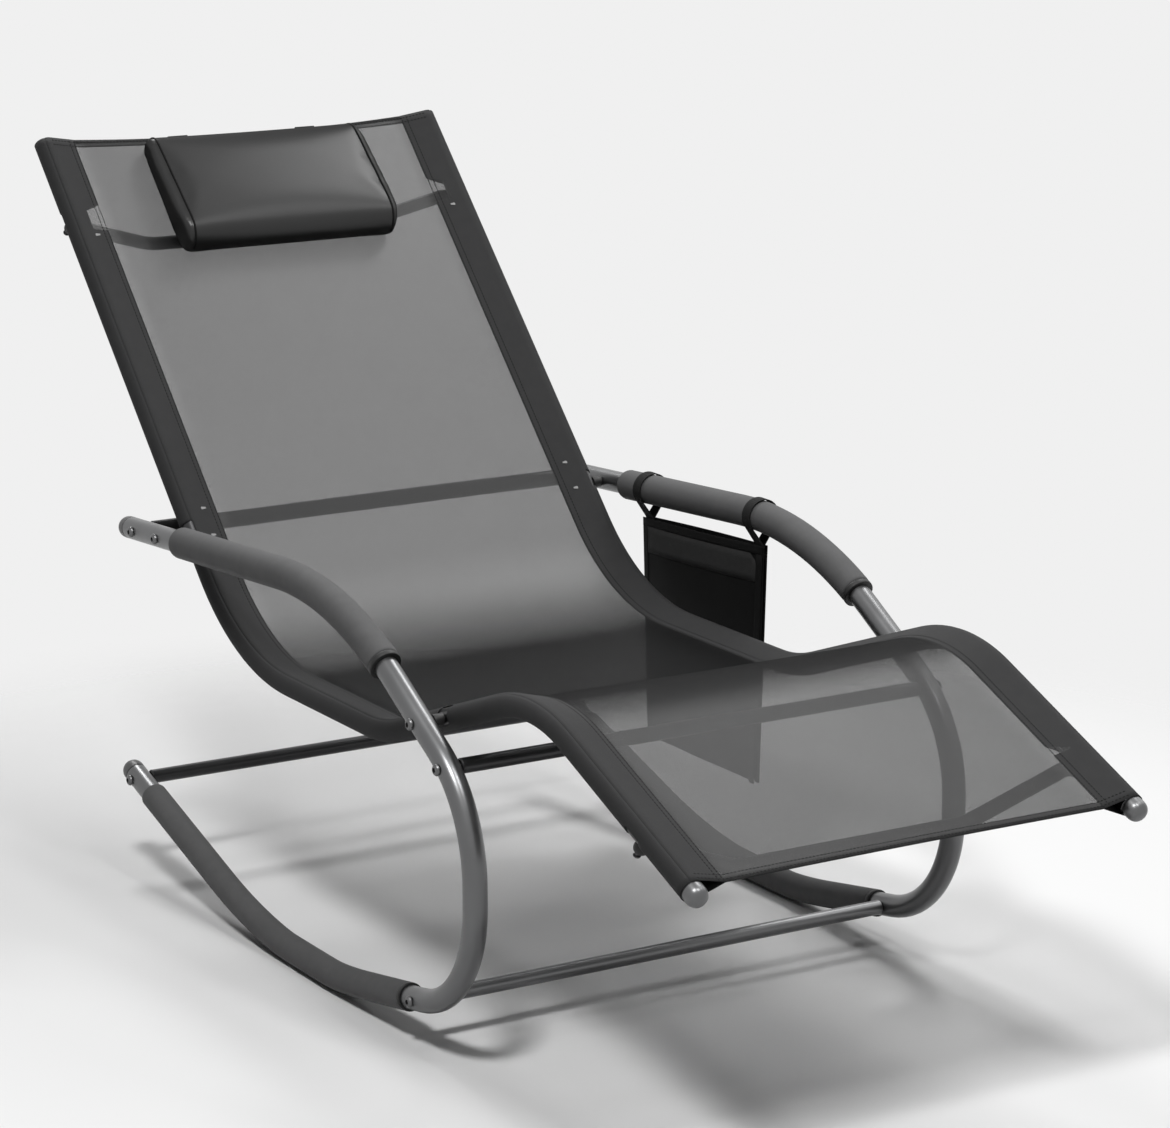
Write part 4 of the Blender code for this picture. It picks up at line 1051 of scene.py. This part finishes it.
def woven(points, across, along, layers=lambda row, column: 1):
    """Cloth over a grid of points, with the distances across and along it as its own coordinates.

    layers gives the number of layers at a face: none leaves a hole, two take the second material.
    """
    shape = bmesh.new()
    coords = shape.loops.layers.uv.new("sheet")
    grid = [[shape.verts.new(p) for p in line] for line in points]
    for corners in quads(len(along), len(across)):
        count = layers(*corners[0])
        if count:
            face = shape.faces.new([grid[r][c] for r, c in corners])
            face.material_index = count - 1
            for loop, (r, c) in zip(face.loops, corners):
                loop[coords].uv = (across[c], along[r])
    loose = [v for v in shape.verts if not v.link_faces]
    bmesh.ops.delete(shape, geom=loose, context="VERTS")
    return shape


def make_sling():
    """The sheet with its sleeves round the rails, its end hems, stitches and tacks."""
    half = sling_section()
    section = half + [Vector((-p.x, p.y)) for p in reversed(half[:-1])]
    across = lengths_along(section)
    rows = sling_rows()
    strips = len(section) - 1

    def layers(row, column):
        """How many layers of cloth a face of the sheet has."""
        middle = (rows[row] + rows[row + 1]) / 2
        sign = 1 if 2 * column < strips else -1
        place = (middle, min(column, strips - 1 - column), sign)
        if cut_away(*place):
            return 0
        return 1 if single_layer(*place) else 2

    shape = woven([[sling_point(d, p.x, p.y) for p in section] for d in rows], across, rows, layers)
    sling = piece_of("sling_sheet", shape, "mesh", "mesh_sling", "sling")
    sling.data.materials.append(LOOKS["hem"])
    give_wall(sling, SHEET_THICK)
    trims = [
        end_hem("sling_head_hem", RAIL.total - END_HEM_WIDTH, RAIL.total),
        end_hem("sling_foot_hem", SLING_FOOT_INSET, SLING_FOOT_INSET + END_HEM_WIDTH),
        make_stitches(),
        make_tacks(),
    ]


def end_hem(name, start, end):
    """The sheet's end turned under, between the two side hems."""
    xs = [HEM_EDGE_X * (k / MESH_STEPS - 1) for k in range(2 * MESH_STEPS + 1)]
    ds = [start + (end - start) * k / END_HEM_STEPS for k in range(END_HEM_STEPS + 1)]
    shape = woven([[on_sheet(d, x, -HEM_CLOSE) for x in xs] for d in ds], xs, ds)
    hem = piece_of(name, shape, "hem", "mesh_sling")
    give_wall(hem, SHEET_THICK)
    return hem


def add_stitch(shape, start, end, up):
    """One short stitch: a thin flat body pointed at both ends."""
    up = up * STITCH_FLAT
    middle = (start + end) / 2 + up * STITCH_R
    side = (end - start).cross(up).normalized()
    ring = [shape.verts.new(middle + (side * a + up * b) * STITCH_R)
            for a, b in ((1, 0), (0, 1), (-1, 0), (0, -1))]
    tips = [shape.verts.new(start), shape.verts.new(end)]
    for k, corner in enumerate(ring):
        for tip in tips:
            shape.faces.new((corner, ring[(k + 1) % len(ring)], tip))


def stitch_spans(begin, end):
    """Where each stitch of a row starts and ends."""
    starts = [begin + (k + STITCH_START) * STITCH_PITCH for k in range(int((end - begin) / STITCH_PITCH))]
    return [(start, start + STITCH_LENGTH) for start in starts]


def make_stitches():
    """Two rows along each side hem and two along each end hem."""
    shape = bmesh.new()
    lift = SHEET_THICK / 2
    for _, sign in SIDES:
        for inset in STITCH_ROWS:
            x = sign * (HEM_EDGE_X + inset)
            for span in stitch_spans(SLING_FOOT_INSET, RAIL.total):
                add_stitch(shape, *[on_sheet(d, x, lift) for d in span], sheet_up(span[0]))
    reach = round_rail(HEM_TOP_TURN).x
    for share in END_STITCH_ROWS:
        inset = share * END_HEM_WIDTH
        for distance in (RAIL.total - inset, SLING_FOOT_INSET + inset):
            for span in stitch_spans(-reach, reach):
                add_stitch(shape, *[on_sheet(distance, x, lift) for x in span], sheet_up(distance))
    return piece_of("sling_stitches", shape, "thread", "mesh_sling")


def make_tacks():
    """Bar tacks in pale thread on the hems beside the head brace and the back crossbar."""
    shape = bmesh.new()
    bar_station = RAIL.of_y(BACK_BAR_Y)
    places = [BRACE_STATIONS[1] - TACK_BELOW_BRACE, *[bar_station + offset for offset in TACKS_BY_BAR]]
    last = TACK_THREADS - 1
    for _, sign in SIDES:
        x = sign * (HEM_EDGE_X + TACK_INSET)
        for distance in places:
            for k in range(TACK_THREADS):
                at = distance + (k - last / 2) * TACK_WIDTH / last
                ends = [sling_point(at, x + sign * t * TACK_LENGTH / 2, sheet_height(x) + SHEET_THICK)
                        for t in (-1, 1)]
                add_stitch(shape, *ends, sheet_up(distance))
    return piece_of("sling_bar_tacks", shape, "tack", "mesh_sling")


# Head pillow

def on_back(x, down, above):
    """Point on the back: x, distance down from the sling's top edge, height over the rail's centreline."""
    point = RAIL.points[-1] - BACK_WAY * down - under(BACK_WAY) * above
    return in_space(x, point)


def sheet_top(x):
    """Height of the solid sling's upper face over the rail's centreline."""
    return SHEET_TOP - SLING_SAG * (1 - (x / RAIL_X) ** 2)


def pad_base(x):
    """Height of the pad's back over the rail's centreline."""
    return sheet_height(x) + PAD_CLEAR


def pillow_outline():
    """Side outline of the pad as (distance down the back, height over the sling)."""
    top = PILLOW_FROM_HEAD + PILLOW_INSET
    low = PILLOW_FROM_HEAD + PILLOW_HEIGHT - PILLOW_INSET
    middle = Vector(((top + low) / 2, 0.0))
    corners = [middle, Vector((low, 0.0)), Vector((low, PILLOW_THICK_LOW)), Vector((top, PILLOW_THICK_TOP)),
               Vector((top, 0.0)), middle]
    return Line(bent(corners, PILLOW_ROUNDS))


def pillow_point(outline, x, share, size):
    """A point of the pad: where along the outline, and the outline's size at an end panel."""
    place = outline.at(outline.total * share)[0]
    middle = Vector((PILLOW_FROM_HEAD + PILLOW_HEIGHT / 2, PILLOW_THICK_LOW / 2))
    place = middle + (place - middle) * size
    v = (place.x - middle.x) * 2 / PILLOW_HEIGHT
    u = x * 2 / PILLOW_LENGTH
    full = max(0.0, 1 - u * u) * max(0.0, 1 - v * v)
    lift = PILLOW_CROWN * full * place.y / PILLOW_THICK_LOW
    base = pad_base(x)
    stretch = 1 + (sheet_top(x) + PILLOW_SEAT - base) / PILLOW_THICK_LOW
    return on_back(x, place.x, base + max(0.0, place.y) * stretch + lift)


def pillow_stations():
    """Places across the pad and the size of its outline there; the end panels bulge past the seams."""
    seam = PILLOW_LENGTH / 2 - PILLOW_END_DEPTH
    places = [(seam * (2 * k / PILLOW_STATIONS - 1), 1.0) for k in range(PILLOW_STATIONS + 1)]
    sizes = [(1 - e ** PILLOW_END_POWER) ** (1 / PILLOW_END_POWER) for e in PILLOW_END_STEPS]
    left = [(seam + PILLOW_END_DEPTH * e, size) for e, size in zip(PILLOW_END_STEPS, sizes)]
    right = [(-x, size) for x, size in reversed(left)]
    return right + places + left


def swell(piece, cap):
    """Blow a closed shape up by a short cloth simulation, no point further than cap from its start."""
    scene = bpy.context.scene
    start = [v.co.copy() for v in piece.data.vertices]
    cloth = piece.modifiers.new("swell", "CLOTH")
    cloth.settings.use_pressure = True
    cloth.settings.uniform_pressure_force = PILLOW_PRESSURE
    cloth.settings.effector_weights.gravity = 0.0
    for kind, stiffness in PILLOW_STIFFNESS:
        setattr(cloth.settings, f"{kind}_stiffness", stiffness)
    cloth.point_cache.frame_start = 1
    cloth.point_cache.frame_end = PILLOW_FRAMES
    for number in range(1, PILLOW_FRAMES + 1):
        scene.frame_set(number)
    graph = bpy.context.evaluated_depsgraph_get()
    swollen = [v.co.copy() for v in piece.evaluated_get(graph).data.vertices]
    piece.modifiers.remove(cloth)
    scene.frame_set(1)
    for vertex, before, after in zip(piece.data.vertices, start, swollen):
        move = after - before
        if move.length > cap:
            move *= cap / move.length
        vertex.co = before + move


def make_pillow():
    """The stuffed pad: a plain form meshed evenly, swollen, seated on the sling and smoothed."""
    shape = bmesh.new()
    outline = pillow_outline()
    shares = [k / PILLOW_POINTS for k in range(PILLOW_POINTS)]
    loops = []
    for x, size in pillow_stations():
        loops.append([shape.verts.new(pillow_point(outline, x, share, size)) for share in shares])
    for a, b in zip(loops, loops[1:]):
        bridge(shape, a, b)
    shape.faces.new(loops[0])
    shape.faces.new(loops[-1][::-1])
    pillow = piece_of("pillow_pad", shape, "leather", "pillow_cover", "pillow", body="pillow")
    remesh = pillow.modifiers.new("even", "REMESH")
    remesh.mode = "VOXEL"
    remesh.voxel_size = PILLOW_VOXEL
    graph = bpy.context.evaluated_depsgraph_get()
    even = bpy.data.meshes.new_from_object(pillow.evaluated_get(graph))
    pillow.modifiers.clear()
    even.materials.clear()
    even.materials.append(LOOKS["leather"])
    pillow.data = even
    swell(pillow, PILLOW_CAP)
    seat_on_sling(pillow)
    even.shade_smooth()
    ease = pillow.modifiers.new("ease", "SMOOTH")
    ease.factor = PILLOW_EASE
    ease.iterations = PILLOW_EASE_ROUNDS
    refine(pillow)
    make_piping(pillow, outline)


def seat_on_sling(pillow):
    """Keep the pad's back on the sling."""
    normal = -in_space(0.0, under(BACK_WAY))
    base = in_space(0.0, RAIL.points[-1])
    for vertex in pillow.data.vertices:
        low = pad_base(vertex.co.x)
        height = (vertex.co - base).dot(normal)
        if height < low:
            vertex.co += normal * (low - height)


def make_piping(pillow, outline):
    """A corded seam round the front panel at each end of the pad, laid on its surface."""
    graph = bpy.context.evaluated_depsgraph_get()
    surface = BVHTree.FromObject(pillow, graph)
    start, end = PIPING_SPAN
    for side, sign in SIDES:
        points = []
        x = sign * (PILLOW_LENGTH / 2 - PILLOW_END_DEPTH)
        for k in range(PIPING_STEPS + 1):
            share = start + (end - start) * k / PIPING_STEPS
            place, normal, *_ = surface.find_nearest(pillow_point(outline, x, share, PIPING_FROM_SIZE))
            points.append(place + normal * PIPING_R * PIPING_PROUD)
        for _ in range(PIPING_EASE_ROUNDS):
            inner = [(a + b * 2 + c) / 4 for a, b, c in zip(points, points[1:], points[2:])]
            points = [points[0], *inner, points[-1]]
        line = Line(points)
        shape = sweep(line, bar_profile(line, 0.0, line.total, PIPING_R), ACROSS, sides=PIPING_SIDES)
        piece_of(f"pillow_piping_{side}", shape, "thread", "pillow_cover", body="pillow")


def band(name, outline, width, side_way, body, node):
    """A flat webbing band: an outline of points in a plane, given width square to it."""
    shape = bmesh.new()
    rims = [[shape.verts.new(p + side_way * (width / 2 * t)) for p in outline] for t in (-1, 1)]
    bridge(shape, *rims)
    count = len(outline)
    for rim in rims:
        for k in range(count // 2 - 1):
            shape.faces.new((rim[k], rim[k + 1], rim[count - 2 - k], rim[count - 1 - k]))
    piece_of(name, shape, "webbing", "webbing", node, body=body)


def make_pillow_straps():
    """Two bands from the pad's top edge over the sling's top edge and down its back."""
    front = sheet_height(STRAP_X) + STRAP_CLEAR
    rear = sheet_height(STRAP_X) - HEM_CLOSE - STRAP_CLEAR
    ridge = TOP_HEM_BOW * (1 - (STRAP_X / HEM_EDGE_X) ** 2) - STRAP_CLEAR
    falls = [STRAP_TAIL - (STRAP_TAIL - ridge) * k / STRAP_TAIL_STEPS for k in range(STRAP_TAIL_STEPS)]
    tail = [Vector((rear, fall)) for fall in falls]
    centre = (front + rear) / 2
    bend = (front - rear) / 2
    turns = [math.pi * k / STRAP_TURN_STEPS for k in range(STRAP_TURN_STEPS + 1)]
    over = [Vector((centre - bend * math.cos(t), ridge - STRAP_CLEAR * math.sin(t))) for t in turns]
    line = [*tail, *over, Vector((front, PILLOW_FROM_HEAD + STRAP_UNDER_PAD))]
    outer = []
    for k, point in enumerate(line):
        way = (line[min(k + 1, len(line) - 1)] - line[max(k - 1, 0)]).normalized()
        outer.append(point + under(way) * BAND_THICK)
    for side, sign in SIDES:
        outline = [on_back(sign * STRAP_X, p.y, p.x) for p in line + outer[::-1]]
        band(f"{side}_pillow_band", outline, STRAP_WIDTH, ACROSS, "pillow", f"{side}_pillow_strap")


# Side bag

def arm_centre(y):
    """Point on the left arm's centreline."""
    return in_space(FRAME_X, ARM_BACKWARD.at(ARM_BACKWARD.of_y(y))[0])


BAG_STRAP_PLACES = (BAG_FRONT_Y + BAG_STRAP_INSET, BAG_FRONT_Y + BAG_WIDTH - BAG_STRAP_INSET)
BAG_HOOKS = [arm_centre(y) for y in BAG_STRAP_PLACES]


def bag_hook(y):
    """Point on the line through the middles of the two strap loops."""
    front, rear = BAG_HOOKS
    return front.lerp(rear, (y - front.y) / (rear.y - front.y))


def bag_point(u, v, w):
    """Bag surface from a cube point: u across, v front to rear, w bottom to top, each -1 to 1."""
    rise = (1 + w) / 2
    inset = BAG_TAPER * (1 - rise)
    y = BAG_FRONT_Y + inset + (BAG_WIDTH - 2 * inset) * (1 + v) / 2
    drop = ARM_SLEEVE_R + BAG_BELOW_SLEEVE
    top = bag_hook(y).z - drop
    bottom = bag_hook(BAG_FRONT_Y).z - drop - BAG_HEIGHT
    swell_out = (BAG_MOUTH - BAG_END_DEPTH) * rise + (BAG_BELLY - BAG_MOUTH) * math.sin(math.pi * rise)
    depth = BAG_END_DEPTH + swell_out * (1 - v * v)
    wave = BAG_WAVE * (1 - v * v) * (1 - rise ** 3)
    ripple = sum(size * math.sin(by_v * v + by_w * w + start) for size, by_v, by_w, start in BAG_RIPPLES)
    x = FRAME_X + u * depth / 2 + wave * ripple
    return Vector((x, y, bottom + (top - bottom) * rise))


def make_bag():
    """An open pouch of cloth, with a panel and bindings sewn on both faces."""
    shape = bmesh.new()
    bmesh.ops.create_cube(shape, size=2.0)
    lid = [face for face in shape.faces if face.normal.z > 0.5]
    bmesh.ops.delete(shape, geom=lid, context="FACES_ONLY")
    long_edges = [e for e in shape.edges if abs(e.verts[0].co.x - e.verts[1].co.x) < 1.0]
    bmesh.ops.subdivide_edges(shape, edges=long_edges, cuts=BAG_CUTS, use_grid_fill=True)
    for vertex in shape.verts:
        vertex.co = bag_point(*vertex.co)
    bag = piece_of("bag_pouch_cloth", shape, "bag", "bag_cloth", "side_bag", body="bag")
    give_wall(bag, BAG_WALL, offset=-1.0)
    refine(bag)
    top = 1 - 2 * BINDING / BAG_HEIGHT
    side = 1 - 2 * BINDING / BAG_WIDTH
    low = top - 2 * PANEL_HEIGHT / BAG_HEIGHT
    for name, u in (("inner", -1), ("outer", 1)):
        patch(f"bag_{name}_panel", u, (-side, side), (low, top), PANEL_LIFT, "panel", PANEL_CORNER)
        patch(f"bag_{name}_top_binding", u, (-1, 1), (top, 1), TOP_BINDING_LIFT, "binding")
        patch(f"bag_{name}_front_binding", u, (-1, -side), (-1, top), SIDE_BINDING_LIFT, "binding")
        patch(f"bag_{name}_rear_binding", u, (side, 1), (-1, top), SIDE_BINDING_LIFT, "binding")


def patch(name, u, across, up, lift, look, corner=0.0):
    """A thin strip of cloth sewn on one face of the bag, over ranges of v and w.

    corner is the share of the width by which its top front corner is rounded off.
    """
    width = across[1] - across[0]
    height = up[1] - up[0]
    columns, rows = (max(PATCH_STEPS_LEAST, round(span * PATCH_STEPS)) for span in (width, height))
    shape = bmesh.new()
    grid = []
    for r in range(rows + 1):
        rise = r / rows
        least = corner * max(0.0, (rise - PANEL_CORNER_FROM) / (1 - PANEL_CORNER_FROM)) ** 3
        w = up[0] + height * rise
        vs = [across[0] + width * max(c / columns, least) for c in range(columns + 1)]
        grid.append([shape.verts.new(bag_point(u, v, w) + ACROSS * (u * lift)) for v in vs])
    for corners in quads(rows + 1, columns + 1):
        shape.faces.new([grid[r][c] for r, c in corners])
    give_wall(piece_of(name, shape, look, "bag_cloth", body="bag"), PATCH_THICK)


def loop_points(radius, neck, foot):
    """A circle drawn out by two straight legs to a neck this far either side of the middle."""
    meet = Vector((neck, foot))
    lean = math.atan2(meet.y, meet.x) + math.acos(radius / meet.length)
    swing = math.pi - 2 * lean
    turns = [lean + swing * k / LOOP_STEPS for k in range(LOOP_STEPS + 1)]
    ring = [Vector((radius * math.cos(t), radius * math.sin(t))) for t in turns]
    return [meet, *ring, Vector((-neck, foot))]


def make_bag_straps():
    """Two webbing loops round the arm sleeve, sewn into the bag's top corners."""
    outer_r = ARM_SLEEVE_R + BAG_STRAP_CLEAR + BAG_STRAP_THICK
    joined = -ARM_SLEEVE_R - BAG_BELOW_SLEEVE
    foot = joined - BAG_STRAP_LAP
    rounds = (
        (outer_r, BAG_STRAP_THICK, joined),
        (outer_r - BAND_THICK, GAP / 2, joined + BAG_STRAP_THICK),
    )
    outer, inner = (
        [Vector((neck, foot)), *loop_points(radius, neck, meet), Vector((-neck, foot))]
        for radius, neck, meet in rounds
    )
    for name, centre in zip(("front", "rear"), BAG_HOOKS):
        outline = [centre + Vector((p.x, 0.0, p.y)) for p in outer + inner[::-1]]
        band(f"bag_{name}_webbing", outline, BAG_STRAP_WIDTH, ALONG, "bag", f"bag_{name}_strap")


# Camera, light and floor

def make_camera():
    """The camera, turned by its yaw and pitch in degrees."""
    yaw = math.radians(CAMERA_YAW)
    pitch = math.radians(CAMERA_PITCH)
    look = Vector((math.sin(yaw) * math.cos(pitch), math.cos(yaw) * math.cos(pitch), -math.sin(pitch)))
    data = bpy.data.cameras.new("photo_camera")
    data.lens = CAMERA_LENS
    data.sensor_width = SENSOR_WIDTH
    camera = link_object("photo_camera", data)
    camera.location = CAMERA_PLACE
    camera.rotation_euler = look.to_track_quat("-Z", "Y").to_euler()
    bpy.context.scene.camera = camera


def make_lamps():
    """Square softboxes round the chair, each placed by its azimuth and elevation in degrees."""
    for name, azimuth, elevation, size, energy in LAMPS:
        data = bpy.data.lights.new(name, "AREA")
        data.size = size
        data.energy = energy
        lamp = link_object(name, data)
        flat = direction(azimuth) * math.cos(math.radians(elevation))
        away = Vector((flat.x, flat.y, math.sin(math.radians(elevation))))
        lamp.location = LAMP_AIM + away * LAMP_REACH
        lamp.rotation_euler = (-away).to_track_quat("-Z", "Y").to_euler()
        lamp.visible_camera = False


def seen_directly(tree):
    """1 for rays from the camera, from glossy surfaces and through clear ones."""
    path = add(tree, "ShaderNodeLightPath")
    kinds = ("Camera", "Glossy", "Transmission")
    camera, glossy, through = (path.outputs[f"Is {kind} Ray"] for kind in kinds)
    either = math_node(tree, "ADD", camera, glossy)
    return math_node(tree, "MINIMUM", math_node(tree, "ADD", either, through), 1.0)


def make_world():
    """A plain backdrop that lights the chair only a little."""
    world = bpy.data.worlds.new("studio")
    world.use_nodes = True
    tree = world.node_tree
    tree.nodes.clear()
    fill = add(tree, "ShaderNodeBackground", Color=(1.0, 1.0, 1.0, 1.0), Strength=WORLD_FILL)
    seen = add(tree, "ShaderNodeBackground", Color=(*grey(BACKDROP), 1.0), Strength=1.0)
    out = add(tree, "ShaderNodeOutputWorld")
    mix_shaders(tree, seen_directly(tree), fill.outputs[0], seen.outputs[0], out)
    bpy.context.scene.world = world


def make_floor():
    """A pale floor that fades into the backdrop away from the chair."""
    shape = bmesh.new()
    bmesh.ops.create_circle(shape, cap_ends=True, segments=FLOOR_SIDES, radius=FLOOR_FADE[1] + FLOOR_MARGIN)
    mesh = bpy.data.meshes.new("studio_floor")
    shape.to_mesh(mesh)
    shape.free()
    floor = link_object("studio_floor", mesh)
    floor.location = (0.0, 0.0, -FLOOR_DROP)
    material = bpy.data.materials.new("pale_floor")
    material.use_nodes = True
    tree = material.node_tree
    tree.nodes.clear()
    radius = add(tree, "ShaderNodeVectorMath", operation="LENGTH")
    place_by(tree, "Object", radius.inputs[0])
    start, end = FLOOR_FADE
    fade = ramp(tree, radius.outputs["Value"], start=start, end=end, interpolation_type="SMOOTHSTEP")
    matt = add(tree, "ShaderNodeBsdfDiffuse", Color=(*grey(FLOOR_COLOUR), 1.0))
    clear = add(tree, "ShaderNodeBsdfTransparent")
    out = add(tree, "ShaderNodeOutputMaterial")
    mix_shaders(tree, fade, matt.outputs[0], clear.outputs[0], out)
    mesh.materials.append(material)


def main():
    bpy.context.scene.view_settings.view_transform = "Standard"
    make_camera()
    make_lamps()
    make_world()
    make_floor()
    for side, sign in SIDES:
        make_side_frame(side, sign)
        make_rail(side, sign)
        make_fasteners(side, sign)
    make_crossbars()
    make_braces()
    make_sling()
    make_pillow()
    make_pillow_straps()
    make_bag()
    make_bag_straps()


main()
